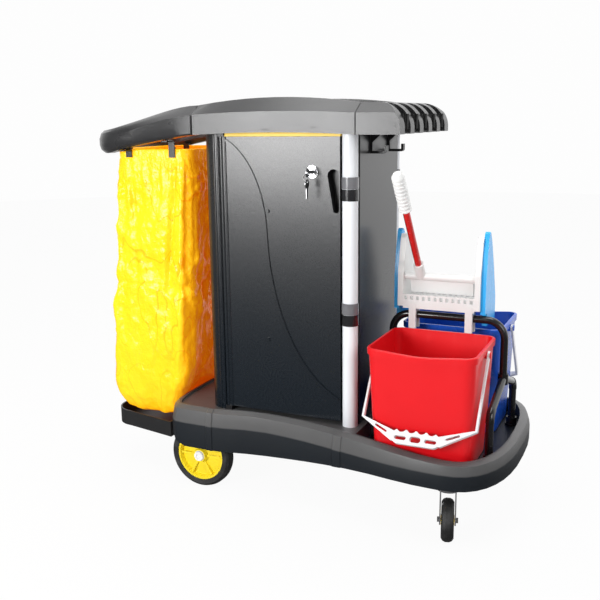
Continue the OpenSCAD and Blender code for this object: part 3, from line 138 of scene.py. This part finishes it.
# %% One finish, one material
class Finish(Graph):
    """A material with a Principled shader, and the fields that feed it."""

    def __init__(self, name, colour, roughness, **fixed):
        self.material = bpy.data.materials.new(name)
        self.material.use_nodes = True
        super().__init__(self.material.node_tree)
        self.shader = self.tree.nodes["Principled BSDF"]
        self.shader.inputs["Base Color"].default_value = (*colour, 1)
        self.shader.inputs["Roughness"].default_value = roughness
        for socket, value in fixed.items():
            self.shader.inputs[socket.replace("_", " ")].default_value = value

    def place(self, scale=(1, 1, 1), turn=(0, 0, 0)):
        where = self.node("ShaderNodeTexCoord", {}, {}, "Object")
        return self.node("ShaderNodeMapping", {}, {
            "Vector": where, "Scale": scale, "Rotation": turn})

    def noise(self, scale, detail=2.0, where=None):
        return self.node("ShaderNodeTexNoise", {}, {
            "Vector": where or self.place(), "Scale": scale, "Detail": detail})

    def ridge(self, scale, where=None):
        """Sharp lines between flat patches: a noise folded at its middle value."""
        wave = self.noise(scale, 1.0, where) - 0.5
        return wave.above(0.0 - wave)

    def axis(self, name):
        return self.node("ShaderNodeSeparateXYZ", {}, {0: self.place()}, name)

    def step(self, field, low, high):
        return self.node("ShaderNodeMapRange", {"interpolation_type": "SMOOTHSTEP"}, {
            "Value": field, "From Min": low, "From Max": high})

    def blend(self, mask, first, second):
        return self.node("ShaderNodeMix", {"data_type": "RGBA"}, {
            0: mask, 6: first, 7: second}, 2)

    def feed(self, socket, field):
        self.tree.links.new(field.socket, self.shader.inputs[socket])

    def bump(self, height, strength, distance):
        self.feed("Normal", self.node("ShaderNodeBump", {}, {
            "Height": height, "Strength": strength, "Distance": distance}))


def shade(colour, factor):
    return (*[min(1.0, c * factor) for c in colour[:3]], 1)


print("a finish makes its fields by noise, ridge, axis, step and blend")

# %% [markdown]
# ## Floor and light
# The photograph has a white background and broad, soft light. The floor is a pale disc that
# keeps a faint shadow, and shows nearly white to the camera. Glossy rays see it white behind the
# cart and dim in front, as in a studio. Raising the lamps would whiten it too, but it would also
# wash out the cart, so the white is left to the rays that look at the floor.

# %% Make the floor
FLOOR_RADIUS, FLOOR_CORNERS = 9, 96
FLOOR_GREY = (0.60, 0.60, 0.60)
WHITE = (1, 1, 1, 1)
DIM = (0.12, 0.12, 0.12, 1)
# The share of white that the camera sees, which leaves some of the shadow
CAMERA_SHARE = 0.95
# The floor turns from dim to white between these two Y
DIM_TO_WHITE = (0.2, 1.6)


def into_object(name, shape):
    """Turn a bmesh into an object in the scene."""
    mesh = bpy.data.meshes.new(name)
    shape.to_mesh(mesh)
    shape.free()
    return in_scene(name, mesh)


def floor_finish():
    paint = Finish("floor_pale", FLOOR_GREY, 0.9, Specular_IOR_Level=0.0)
    seen = paint.node("ShaderNodeLightPath", {}, {}, "Is Camera Ray")
    mirrored = paint.node("ShaderNodeLightPath", {}, {}, "Is Glossy Ray")
    behind = paint.step(paint.axis("Y"), *DIM_TO_WHITE)
    glow = paint.node("ShaderNodeEmission", {}, {
        "Color": paint.blend(seen.above(behind), DIM, WHITE)})
    base = Field(paint, paint.shader.outputs[0])
    share = (seen * CAMERA_SHARE).above(mirrored)
    mixed = paint.node("ShaderNodeMixShader", {}, {0: share, 1: base, 2: glow})
    out = paint.tree.nodes["Material Output"]
    paint.tree.links.new(mixed.socket, out.inputs["Surface"])
    return paint


disc = bmesh.new()
bmesh.ops.create_circle(disc, cap_ends=True, segments=FLOOR_CORNERS, radius=FLOOR_RADIUS)
floor = into_object("floor", disc)
floor.data.materials.append(floor_finish().material)
print("floor:", FLOOR_RADIUS, "m in radius")

# %% [markdown]
# Three large lamps stand for the soft boxes. The one at the front left is low and close, and its
# reflection brightens the upper part of the door. One lamp could light the cart, but its shadows
# would be hard, so the other two fill them.

# %% Hang the lamps
# Place, aim, width and height, power
LAMPS = {
    "front_left": ((-0.92, -2.4, 1.04), (-0.05, 0.0, 0.95), (1.2, 0.75), 56),
    "front_right": ((2.3, -1.5, 1.7), (0.25, 0.0, 0.5), (1.2, 1.2), 20),
    "overhead": ((0.0, -0.3, 3.0), (0.0, 0.0, 0.5), (2.0, 2.0), 46),
}
for name, (at, towards, size, power) in LAMPS.items():
    lamp = bpy.data.lights.new(name, "AREA")
    lamp.shape = "RECTANGLE"
    lamp.size, lamp.size_y = size
    lamp.energy = power
    aim = (Vector(towards) - Vector(at)).to_track_quat("-Z", "Y")
    in_scene(name, lamp).matrix_world = Matrix.Translation(at) @ aim.to_matrix().to_4x4()
bpy.context.scene.view_settings.view_transform = "Standard"
print("lamps:", ", ".join(LAMPS))

# %% [markdown]
# The room itself is white behind the cart and dim in front of it, so dark gloss has something to
# mirror. The world's colour could be one flat white, but then the dark panels would turn grey.
# The strength follows the direction of the ray instead, and the camera sees white all round.

# %% Light the room
DIM_FRONT, BRIGHT_BEHIND, CAMERA_WHITE = 0.22, 1.25, 0.985
# The room turns from dim to bright between these two Y of a direction
FRONT_TO_BEHIND = (-0.2, 0.4)

world = bpy.data.worlds.new("studio")
bpy.context.scene.world = world
world.use_nodes = True
sky = world.node_tree.nodes["Background"]
sky.inputs["Color"].default_value = WHITE
room = Graph(world.node_tree)
direction = room.node("ShaderNodeTexCoord", {}, {}, "Generated")
depth = room.node("ShaderNodeSeparateXYZ", {}, {"Vector": direction}, "Y")
by_depth = room.node("ShaderNodeMapRange", {}, {
    "Value": depth, "From Min": FRONT_TO_BEHIND[0], "From Max": FRONT_TO_BEHIND[1],
    "To Min": DIM_FRONT, "To Max": BRIGHT_BEHIND})
seen = room.node("ShaderNodeLightPath", {}, {}, "Is Camera Ray")
level = room.node("ShaderNodeMapRange", {}, {
    "Value": seen, "To Min": by_depth, "To Max": CAMERA_WHITE})
room.tree.links.new(level.socket, sky.inputs["Strength"])
print("room:", DIM_FRONT, "in front,", BRIGHT_BEHIND, "behind")

# %% [markdown]
# ## Satin mouldings
# Nearly everything on the cart is moulded plastic. A satin moulding has a fine grain, a slow
# change of tone and faint scuffs. Each could be painted by hand, but they look alike on every
# piece, so one function makes them from noise at three scales, and a table names the solids.

# %% Satin surface
# How much paler and darker the tone drifts, and how deep the grain is
TONE_DRIFT, GRAIN_DEPTH = 0.12, 0.0004


def satin_surface(paint, roughness, grain):
    """Feed the gloss and the grain, and return the tone and the scuffs."""
    tone = paint.noise(5.0, 3.0)
    speck = paint.noise(1400.0, 1.0)
    scuff = paint.step(paint.noise(26.0, 6.0, paint.place((1, 1, 5))), 0.58, 0.8)
    paint.feed("Roughness", roughness - 0.05 + 0.1 * tone + 0.12 * scuff)
    paint.bump(speck, grain, GRAIN_DEPTH)
    return tone, scuff


def moulded(name, colour, roughness, grain):
    paint = Finish(name, colour, roughness)
    tone, scuff = satin_surface(paint, roughness, grain)
    body = paint.blend(tone, shade(colour, 1 - TONE_DRIFT), shade(colour, 1 + TONE_DRIFT))
    scuffed = shade([c + 0.02 for c in colour], 1.6)
    paint.feed("Base Color", paint.blend(scuff * 0.25, body, scuffed))
    return paint


print("satin grain:", GRAIN_DEPTH, "m deep")

# %% Dress the satin mouldings
dressed = set()


def dress(paint, names):
    """Give a finish to the solids that a string names."""
    for name in names.split():
        mesh = frame["nodes"][name].data
        mesh.materials.clear()
        mesh.materials.append(paint.material)
        dressed.add(name)
    print(paint.material.name, "on", names)


CHARCOAL = (0.024, 0.024, 0.025)
BLACK = (0.014, 0.014, 0.015)
# Finish, colour, roughness, strength of the grain, solids
SATIN = (
    ("cover_charcoal", CHARCOAL, 0.29, 0.3, "centre_tray handle_section tool_rack"),
    ("tray_black", BLACK, 0.45, 0.25, "bag_tray"),
    ("moulded_black", BLACK, 0.35, 0.2,
     "hinge_brackets shelf_lower shelf_upper shelf_rails utility_hooks bag_clips frame_feet "
     "castor_near_plate castor_far_plate door_pull"),
    ("header_yellow", (0.90, 0.58, 0.02), 0.4, 0.25, "header_rail"),
    ("bracket_black", (0.018, 0.018, 0.019), 0.5, 0.25, "axle_brackets"),
    ("grip_white", (0.80, 0.80, 0.79), 0.4, 0.25, "lever_grip"),
)
for *look, names in SATIN:
    dress(moulded(*look), names)

# %% [markdown]
# ## Glossy mouldings
# The buckets, wheels, posts and wringer are smoother. Polished plastic isn't flat: the melt
# leaves slow waves and use leaves fine scratches. Both could be modelled, but they are far too
# shallow to change an outline, so a bump and the roughness carry them.

# %% Glossy mouldings
FLOW, WAVE_DEPTH = 0.1, 0.0005
SCRATCH_STRETCH, SCRATCH_TURN = (1, 1, 0.12), (0.3, 0.5, 0.2)


def glossy(name, colour, roughness, fixed):
    paint = Finish(name, colour, roughness, **fixed)
    tone = paint.noise(7.0, 2.0)
    fine = paint.noise(420.0, 2.0)
    along = paint.place(SCRATCH_STRETCH, SCRATCH_TURN)
    scratch = paint.step(paint.noise(60.0, 5.0, along), 0.6, 0.78)
    body = paint.blend(tone, shade(colour, 1 - FLOW), shade(colour, 1 + FLOW * 0.6))
    paint.feed("Base Color", body)
    paint.feed("Roughness", roughness + 0.07 * tone + 0.14 * scratch)
    paint.bump(fine + 3.0 * paint.noise(18.0, 1.0), 0.12, WAVE_DEPTH)
    return paint


# Finish, colour, roughness, sockets of its own, solids
GLOSSY = (
    ("post_white", (0.78, 0.80, 0.83), 0.26, {}, "post_near post_far"),
    ("wheel_yellow", (0.90, 0.70, 0.02), 0.3, {},
     "wheel_near_rim wheel_far_rim castor_near_core castor_far_core"),
    ("cap_white", (0.80, 0.80, 0.80), 0.3, {}, "wheel_near_cap wheel_far_cap"),
    ("tube_black", (0.010, 0.010, 0.011), 0.16, {"Coat_Weight": 0.3}, "bucket_frame"),
    ("bucket_red", (0.76, 0.007, 0.012), 0.26, {"Specular_IOR_Level": 0.4}, "red_bucket"),
    ("bucket_blue", (0.010, 0.085, 0.52), 0.24, {}, "blue_bucket"),
    ("bail_white", (0.74, 0.75, 0.76), 0.3, {}, "red_bail blue_bail"),
    ("wringer_white", (0.80, 0.80, 0.79), 0.28, {},
     "wringer_cheeks wringer_body rocking_shaft press_plate"),
    ("shield_blue", (0.03, 0.42, 0.90), 0.2, {}, "wringer_shields"),
)
for *look, names in GLOSSY:
    dress(glossy(*look), names)

# %% [markdown]
# ## Metal and rubber
# The castor forks and the lock are bright chrome, the axles plain steel. Metal takes all its
# colour from what it mirrors, so its tone hardly varies, and fine lines in the roughness show
# how it was drawn. Tyres and tool grips are rubber, dull and dusty in patches.

# %% Metal and rubber
LINE_DEPTH, RUBBER_DEPTH = 0.0002, 0.0004
ALL_WAYS, ALONG_X = (1, 1, 1), (0.1, 1, 1)


def metal(name, colour, roughness, drawn):
    paint = Finish(name, colour, roughness, Metallic=1.0)
    lines = paint.noise(300.0, 3.0, paint.place(drawn))
    spot = paint.noise(40.0, 4.0)
    paint.feed("Base Color", paint.blend(spot, shade(colour, 0.88), shade(colour, 1.06)))
    paint.feed("Roughness", roughness + 0.1 * lines + 0.08 * spot)
    paint.bump(lines, 0.08, LINE_DEPTH)
    return paint


def rubber(name, colour):
    paint = Finish(name, colour, 0.62)
    dust = paint.step(paint.noise(34.0, 6.0), 0.45, 0.75)
    dusty = shade([c + 0.03 for c in colour], 1.5)
    paint.feed("Base Color", paint.blend(dust * 0.5, (*colour, 1), dusty))
    paint.feed("Roughness", 0.55 + 0.2 * dust)
    paint.bump(paint.noise(900.0, 2.0), 0.3, RUBBER_DEPTH)
    return paint


# Finish, colour, roughness, stretch of the drawn lines, solids
METALS = (
    ("bright_chrome", (0.80, 0.80, 0.82), 0.08, ALL_WAYS,
     "castor_near_fork castor_far_fork lock_housing"),
    ("key_steel", (0.34, 0.34, 0.35), 0.25, ALL_WAYS, "lock_plug key_set"),
    ("plain_steel", (0.55, 0.55, 0.56), 0.3, ALONG_X,
     "rear_axle hinge_pin castor_near_axle castor_far_axle"),
)
for *look, names in METALS:
    dress(metal(*look), names)
dress(rubber("grip_rubber", (0.012, 0.012, 0.012)), "tool_grips")
dress(rubber("tyre_rubber", (0.014, 0.014, 0.014)),
      "wheel_near_tyre wheel_far_tyre castor_near_tyre castor_far_tyre")

# %% [markdown]
# ## The base's two tones
# The base is one moulding with two looks: its rim is a satin grey, made paler than its plastic as
# a painted highlight on its sloping top, and its skirt is darker and bluer. Two materials would
# need faces that end on the line between them. A mask does without: it is the height, read from
# the object's own coordinates, so it is the same from every side.

# %% The base's two tones
# The rim's grey is paler than its plastic: a painted highlight on its sloping top
RIM_GREY_AND_HIGHLIGHT = (0.080, 0.080, 0.081)
SKIRT_BLUE = (0.008, 0.011, 0.015)
SKIRT_TO_RIM = (0.181, 0.186)


def base_moulding():
    roughness = 0.36
    paint = Finish("base_satin", RIM_GREY_AND_HIGHLIGHT, roughness)
    satin_surface(paint, roughness, 0.3)
    upper = paint.step(paint.axis("Z"), *SKIRT_TO_RIM)
    tone = paint.noise(6.0, 3.0)
    # Painted highlight: the rim takes the pale grey, partly its own colour and partly painted
    # light
    rim = paint.blend(tone, shade(RIM_GREY_AND_HIGHLIGHT, 0.85), shade(RIM_GREY_AND_HIGHLIGHT, 1.2))
    skirt = paint.blend(tone, shade(SKIRT_BLUE, 0.85), shade(SKIRT_BLUE, 1.15))
    paint.feed("Base Color", paint.blend(upper, skirt, rim))
    return paint


dress(base_moulding(), "base_platform base_floor")

# %% [markdown]
# ## Cabinet panels
# The door and the cabinet are dark panels with a soft grain, painted paler towards the top and
# darker towards the bottom as painted light from above. A plain dark colour would look like a hole
# in the picture, so the gloss is high enough to mirror the lamp at the front left, and two scales
# of bump break that reflection up.

# %% Cabinet panels
PANEL = (0.009, 0.011, 0.014)
# Painted shade towards the bottom of a panel and painted light towards its top
PANEL_SHADE_LOW, PANEL_LIGHT_HIGH = (0.003, 0.007, 0.012, 1), (0.022, 0.022, 0.022, 1)
LIT_PALER_BETWEEN = (0.25, 0.95)
PANEL_GRAIN_DEPTH = 0.0006


def panel_finish():
    paint = Finish("cabinet_panel", PANEL, 0.28, Specular_IOR_Level=0.55)
    height = paint.step(paint.axis("Z"), *LIT_PALER_BETWEEN)
    tone = paint.noise(3.0, 3.0)
    grain = paint.noise(520.0, 3.0)
    # Painted light: the colour turns from the shaded low value to the lit high value with height
    body = paint.blend(height, PANEL_SHADE_LOW, PANEL_LIGHT_HIGH)
    paint.feed("Base Color", paint.blend(tone * 0.35, body, shade(PANEL, 1.5)))
    paint.feed("Roughness", 0.22 + 0.06 * tone + 0.06 * grain)
    paint.bump(grain + 2.0 * paint.noise(90.0, 2.0), 0.12, PANEL_GRAIN_DEPTH)
    return paint


dress(panel_finish(), "cabinet_shell end_panel door_panel")

# %% [markdown]
# ## Lever and post bands
# The wringer's lever is a red tube, and its left side is painted black as painted shade. The
# bands on the posts are black clips, and the upper half of each is painted grey as a painted
# sheen of the glossy clip, over a black lower half. Each could be two solids. The lines between
# the colours are straight, so a step along one axis is enough.

# %% Painted lever
# The black is painted shade along the left side of the tube
LEVER_RED, LEVER_SHADE_BLACK = (0.6, 0.02, 0.02), (0.012, 0.012, 0.013, 1)
BARE_STEEL = (0.4, 0.4, 0.4, 1)
SHADE_TO_RED = (0.3055, 0.3085)


def lever_paint():
    paint = Finish("lever_red_shaded", LEVER_RED, 0.25, Coat_Weight=0.4)
    # Painted shade: black on the left side of the tube, red on the rest
    shaded_side = 1 - paint.step(paint.axis("X"), *SHADE_TO_RED)
    chips = paint.step(paint.noise(160.0, 4.0), 0.66, 0.7)
    red = paint.blend(paint.noise(30.0), (0.50, 0.012, 0.012, 1), (0.66, 0.02, 0.018, 1))
    coat = paint.blend(shaded_side, red, LEVER_SHADE_BLACK)
    paint.feed("Base Color", paint.blend(chips * 0.6, coat, BARE_STEEL))
    paint.feed("Roughness", 0.2 + 0.3 * chips + 0.1 * paint.noise(300.0))
    return paint


dress(lever_paint(), "lever_tube")

# %% Post bands
BAND_HEIGHT, BAND_EDGE = 0.056, 0.0008


def band_finish(upper_z, lower_z):
    """Grey above the middle of each band, a painted sheen on the glossy black clip, and black
    below it.
    """
    paint = Finish("band_gloss", (0.02, 0.02, 0.02), 0.15, Coat_Weight=0.5)
    height = paint.axis("Z")
    # Painted sheen: grey above the middle of each band stands for the highlights on the glossy
    # black clip
    grey = paint.step(height, upper_z - BAND_EDGE, upper_z + BAND_EDGE)
    lower = height < (upper_z + lower_z) * 0.5
    grey_low = paint.step(height, lower_z - BAND_EDGE, lower_z + BAND_EDGE) * lower
    smoke = paint.noise(50.0, 3.0)
    dark = paint.blend(smoke, (0.008, 0.008, 0.009, 1), (0.02, 0.02, 0.022, 1))
    # A painted sheen, paler than the black clip
    pale = paint.blend(smoke, (0.10, 0.10, 0.11, 1), (0.2, 0.2, 0.21, 1))
    paint.feed("Base Color", paint.blend(grey.above(grey_low), dark, pale))
    paint.feed("Roughness", 0.12 + 0.12 * smoke)
    return paint


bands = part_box("post_bands_near")
dress(band_finish(bands[1][2] - BAND_HEIGHT / 2, bands[0][2] + BAND_HEIGHT / 2),
      "post_bands_near post_bands_far")
print("solids with no finish yet:", sorted(set(frame["nodes"]) - dressed))

# %% [markdown]
# ## Smooth mouldings
# The lofted solids come in as flat triangles, so a long curve would show its facets. On the real
# cart these are smooth mouldings. A copy of each gets its loose corners merged and its faces
# shaded smooth, with every true corner kept sharp, and stands for the solid.

# %% Shade the lofts smooth
SMOOTH_LOFTS = ("base_platform", "handle_section", "centre_tray", "tool_rack", "red_bucket",
                "blue_bucket", "wringer_shields", "bag_tray")
TRUE_CORNER = math.radians(24)
SAME_CORNER = 1e-5


def body_of(name):
    bodies = frame["record"]["behaviour"]["bodies"]
    return next(body for body, names in bodies.items() if name in names)


def smooth_loft(name):
    solid = frame["nodes"][name]
    shape = bmesh.new()
    shape.from_mesh(solid.data)
    bmesh.ops.remove_doubles(shape, verts=shape.verts, dist=SAME_CORNER)
    for face in shape.faces:
        face.smooth = True
    for edge in shape.edges:
        edge.smooth = edge.is_manifold and edge.calc_face_angle(0.0) < TRUE_CORNER
    piece = into_object(name + "_moulding", shape)
    piece.data.materials.append(solid.data.materials[0])
    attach(piece, body_of(name))
    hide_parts(name)


for name in SMOOTH_LOFTS:
    smooth_loft(name)
print("smooth mouldings:", ", ".join(SMOOTH_LOFTS))

# %% [markdown]
# ## The waste bag
# The bag is thin vinyl film that hangs by its hem from clips. It could be a smooth loft, but
# film never hangs smooth: it pleats under the clips, keeps the fold lines of its packing and
# crumples where it is slack. So a tube with a bottom is extruded from a circle, wrapped onto the
# bag's outline with its pleats, and then hung in a short cloth simulation.

# %% Outline of the bag
MOUTH_LEFT, MOUTH_RIGHT, MOUTH_HALF = -0.504, -0.274, 0.143
CORNER = 0.034
# Height, then growth to the left, to the right and to each side
BAG_LEVELS = (
    (0.167, 0.015, -0.102, -0.039), (0.176, 0.040, -0.089, -0.016), (0.215, 0.058, -0.084, 0.006),
    (0.262, 0.063, -0.049, 0.014), (0.350, 0.057, -0.032, 0.016), (0.500, 0.043, -0.023, 0.015),
    (0.700, 0.023, -0.013, 0.011), (0.862, 0.003, -0.002, 0.003), (0.878, 0.0, 0.0, 0.0),
    (0.904, 0.0, 0.0, 0.0))
BAG_LOW, HEM_LOW, BAG_HIGH = BAG_LEVELS[0][0], BAG_LEVELS[-2][0], BAG_LEVELS[-1][0]


def level_at(height):
    for low, high in zip(BAG_LEVELS, BAG_LEVELS[1:]):
        if height <= high[0]:
            t = (height - low[0]) / (high[0] - low[0])
            return [a + (b - a) * max(t, 0) for a, b in zip(low, high)]
    return list(BAG_LEVELS[-1])


def around(turn, left, right, half):
    """A point of a rounded rectangle, a share of its outline from the middle of the right side."""
    long_x, long_y = right - left - 2 * CORNER, 2 * half - 2 * CORNER
    arc = math.pi * CORNER / 2
    runs = [long_y / 2, arc, long_x, arc, long_y, arc, long_x, arc, long_y / 2]
    s = turn % 1 * sum(runs)
    x, y, heading = right, 0.0, math.pi / 2
    for k, run in enumerate(runs):
        step = min(s, run)
        if k % 2:
            bend = step / CORNER
            centre = Vector((x - CORNER * math.sin(heading), y + CORNER * math.cos(heading)))
            heading += bend
            x = centre.x + CORNER * math.sin(heading)
            y = centre.y - CORNER * math.cos(heading)
        else:
            x += step * math.cos(heading)
            y += step * math.sin(heading)
        s -= step
        if s <= 0:
            break
    return Vector((x, y))


print("bag from", BAG_LOW, "to", BAG_HIGH, "m, hem from", HEM_LOW)

# %% Extrude a tube with a bottom
RING, ROWS, BOTTOM_RINGS = 216, 150, 8
# How far the rings of the bottom reach in from an edge of radius 1
BOTTOM_REACH = 0.9


def bag_tube():
    shape = bmesh.new()
    bmesh.ops.create_circle(shape, cap_ends=True, segments=RING, radius=1)
    rim = list(shape.edges)
    bottom = list(shape.faces)
    for _ in range(BOTTOM_RINGS):
        bmesh.ops.inset_region(shape, faces=bottom, thickness=BOTTOM_REACH / BOTTOM_RINGS,
                               use_even_offset=False)
    bmesh.ops.poke(shape, faces=bottom)
    for _ in range(ROWS):
        made = bmesh.ops.extrude_edge_only(shape, edges=rim)["geom"]
        lifted = [v for v in made if isinstance(v, bmesh.types.BMVert)]
        rim = [e for e in made if isinstance(e, bmesh.types.BMEdge)]
        bmesh.ops.translate(shape, verts=lifted, vec=(0, 0, 1 / ROWS))
    return shape


tube = bag_tube()
print("tube:", len(tube.faces), "faces")

# %% Wrap the tube onto the outline
# Depth of a wave, how many go round, and how far they wander
WAVES = ((0.0016, 7, 6), (0.0010, 19, -9))
# Heights of the fold lines of the packing, their width and depth
PACKED_HEIGHTS, PACKED_WIDTH, PACKED_DEPTH = (0.856, 0.772, 0.545), 0.005, 0.003
# One upright fold: its place as a share of the way round, its width and how far it stands out
FOLD_TURN, FOLD_WIDTH, FOLD_OUT = 0.853, 0.009, 0.005
BOTTOM_SAG, SLOW_SWELL = 0.012, 0.004


def hump(x, middle, width):
    return math.exp(-((x - middle) / width) ** 2)


def pleat(turn, height):
    """How far the film stands out at a share of the way round and a height."""
    fade = min(1.0, 0.15 + max(0.0, (HEM_LOW - height) / 0.08))
    drift = 0.02 * math.sin(height * 7) + 0.015 * noise.noise(Vector((turn * 9, height * 5, 3)))
    waves = sum(depth * math.sin(2 * math.pi * (count * turn + wander * drift))
                for depth, count, wander in WAVES)
    packed = sum(hump(height, z, PACKED_WIDTH) for z in PACKED_HEIGHTS)
    fold = hump(turn, FOLD_TURN + 0.004 * math.sin(height * 16), FOLD_WIDTH)
    return waves * fade - PACKED_DEPTH * packed + FOLD_OUT * fade * fold


def wrap(shape):
    for v in shape.verts:
        turn = math.atan2(v.co.y, v.co.x) / (2 * math.pi) % 1
        spread = min(1.0, v.co.xy.length)
        height = BAG_LOW + (BAG_HIGH - BAG_LOW) * v.co.z
        _, to_left, to_right, to_side = level_at(height)
        left, right, half = MOUTH_LEFT - to_left, MOUTH_RIGHT + to_right, MOUTH_HALF + to_side
        edge = around(turn, left, right, half)
        middle = Vector(((left + right) / 2, 0))
        at = middle + (edge - middle) * spread
        out = (edge - middle).normalized()
        sag = BOTTOM_SAG * (1 - spread ** 2)
        push = 0.0
        if height < HEM_LOW:
            swell = SLOW_SWELL * noise.noise(Vector((at.x * 6, at.y * 6, height * 5)))
            push = pleat(turn, height) * spread + swell * spread
        v.co = (at.x + out.x * push, at.y + out.y * push, height + (sag if spread < 1 else 0))


wrap(tube)
bmesh.ops.recalc_face_normals(tube, faces=tube.faces)
bag = into_object("film_bag", tube)
print("bag:", len(bag.data.vertices), "points")

# %% [markdown]
# The simulation makes the film two percent too large for its outline, so it has to crumple, and
# blows it out gently, as a bag that was shaken open. No point may move far, so the bag stays
# clear of the cabinet and the tray. The result is written into the mesh.

# %% Hang the film
LARGEST_MOVE = 0.011
FRAMES = 24
FILM = {
    "quality": 5,
    "mass": 0.12,
    "tension_stiffness": 14,
    "compression_stiffness": 14,
    "shear_stiffness": 6,
    "bending_stiffness": 0.5,
    "air_damping": 2,
    "shrink_min": -0.02,
    "vertex_group_mass": "hem",
    "use_pressure": True,
    "uniform_pressure_force": 0.12,
}


def hang(bag):
    rest = [v.co.copy() for v in bag.data.vertices]
    held = bag.vertex_groups.new(name="hem")
    held.add([v.index for v in bag.data.vertices if v.co.z >= HEM_LOW - 0.001], 1.0, "REPLACE")
    cloth = bag.modifiers.new("film", "CLOTH")
    for setting, value in FILM.items():
        setattr(cloth.settings, setting, value)
    cloth.collision_settings.use_collision = False
    scene = bpy.context.scene
    for step in range(1, FRAMES + 1):
        scene.frame_set(step)
    hung = bag.evaluated_get(bpy.context.evaluated_depsgraph_get())
    moved = [v.co.copy() for v in hung.data.vertices]
    bag.modifiers.remove(cloth)
    bag.vertex_groups.remove(held)
    scene.frame_set(1)
    for v, start, end in zip(bag.data.vertices, rest, moved):
        move = end - start
        if move.length > LARGEST_MOVE:
            move *= LARGEST_MOVE / move.length
        v.co = start + move
    print("film moved up to", max((v.co - s).length for v, s in zip(bag.data.vertices, rest)))


hang(bag)

# %% [markdown]
# Vinyl takes sharp creases where it was folded and squeezed, and stays flat between them. A
# noise that is folded at its middle value does the same: flat patches that meet in sharp lines.
# Four sizes of it, each drawn out along a direction of its own, crease the film. A slow noise
# leaves some of the film smoother, and one long pleat runs down from the hem at the front.

# %% Crease the film
# Patches in a metre, depth, and the direction in which the creases run
CREASES = ((7.0, 0.018, (0.5, 0.3, 0.8)), (14.0, 0.017, (-0.5, 0.4, 0.75)),
           (27.0, 0.011, (0.6, 0.5, 0.6)), (52.0, 0.005, (-0.3, -0.6, 0.7)))
DRAWN_OUT = 2.4
# The value of a folded noise at which a crease turns from pushing out to pushing in
FOLD_TURNS_AT = 0.22
# The long pleat: its X at a height, how far it leans for each metre, its depth and width
PLEAT_X, PLEAT_Z, PLEAT_LEAN = -0.318, 0.85, 0.114
PLEAT_DEPTH, PLEAT_WIDTH = 0.020, 0.006
# The pleat fades in above this height, over this length, and creases fade below the hem
PLEAT_LOW, PLEAT_FADE, HEM_FADE = 0.50, 0.12, 0.06


def clamped(x):
    return min(1.0, max(0.0, x))


def drawn_out(point, direction):
    along = Vector(direction).normalized()
    return point - along * (point.dot(along) * (1 - 1 / DRAWN_OUT))


def creased(bag):
    outward = [v.normal.copy() for v in bag.data.vertices]
    for v, out in zip(bag.data.vertices, outward):
        slack = 0.35 + 0.65 * clamped(0.6 + 1.6 * noise.noise(v.co * 4.5))
        push = 0.0
        for k, (pitch, depth, direction) in enumerate(CREASES):
            where = drawn_out(v.co, direction) * pitch + Vector((0, 0, 7 * k))
            push += depth * (FOLD_TURNS_AT - abs(noise.noise(where)))
        free = clamped((HEM_LOW - v.co.z) / HEM_FADE)
        if out.y < -0.5:
            low_end = clamped((v.co.z - PLEAT_LOW) / PLEAT_FADE)
            pleat_x = PLEAT_X + PLEAT_LEAN * (v.co.z - PLEAT_Z)
            push -= PLEAT_DEPTH * hump(v.co.x, pleat_x, PLEAT_WIDTH) * low_end
        v.co += out * (push * free * slack)


creased(bag)
print("creases:", len(CREASES), "sizes and one long pleat")

# %% [markdown]
# Yellow film lets some light through, and that light is redder than what it throws back. A
# translucent shader could carry it, but a faint glow of the same colour survives an export. Fold
# lines are painted a deeper orange as painted shade in the creases, and the finest crumpling is a
# bump.

# %% Film finish
FILM_YELLOW = (0.95, 0.64, 0.01)
FILM_DARK, FILM_PALE = (0.94, 0.56, 0.005, 1), (0.97, 0.70, 0.015, 1)
THROUGH_DARK, THROUGH_PALE = (0.95, 0.07, 0.0, 1), (1.0, 0.11, 0.0, 1)
# Painted shade in the creases
CREASE_SHADE_ORANGE = (0.86, 0.30, 0.001, 1)
CRUMPLE_DEPTH = 0.007


def vinyl():
    paint = Finish("vinyl_yellow", FILM_YELLOW, 0.22,
                   Specular_IOR_Level=0.35, Emission_Strength=0.34)
    tone = paint.noise(9.0, 4.0)
    paint.feed("Emission Color", paint.blend(tone, THROUGH_DARK, THROUGH_PALE))
    body = paint.blend(tone, FILM_DARK, FILM_PALE)
    wide = paint.ridge(13.0, paint.place((1, 1, 0.6), (0.4, 0.5, 0.2)))
    fine = paint.ridge(46.0, paint.place((1, 1, 0.7), (0.5, 0.4, 0.2)))
    in_patches = paint.step(paint.noise(5.0), 0.42, 0.6)
    # Painted shade: thin crease lines in patches are darkened to orange
    line = (1 - paint.step(wide, 0.0, 0.016)) * in_patches
    paint.feed("Base Color", paint.blend(line * 0.6, body, CREASE_SHADE_ORANGE))
    paint.feed("Roughness", 0.14 + 0.2 * tone)
    paint.bump(fine + 0.4 * paint.ridge(120.0), 0.7, CRUMPLE_DEPTH)
    return paint


bag.data.materials.append(vinyl().material)
for face in bag.data.polygons:
    face.use_smooth = True
print("film finish:", bag.data.materials[0].name)

# %% [markdown]
# Real film has two sides and a thickness, and an open sheet would render and export as a single
# skin. Solidify gives it both. The bag rides on the cart and stands for the solid bag.

# %% Film thickness
FILM_THICKNESS = 0.0006
film = bag.modifiers.new("film_thickness", "SOLIDIFY")
film.thickness = FILM_THICKNESS
film.offset = 0
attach(bag, "cart")
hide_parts("waste_bag")
print("film thickness:", FILM_THICKNESS)
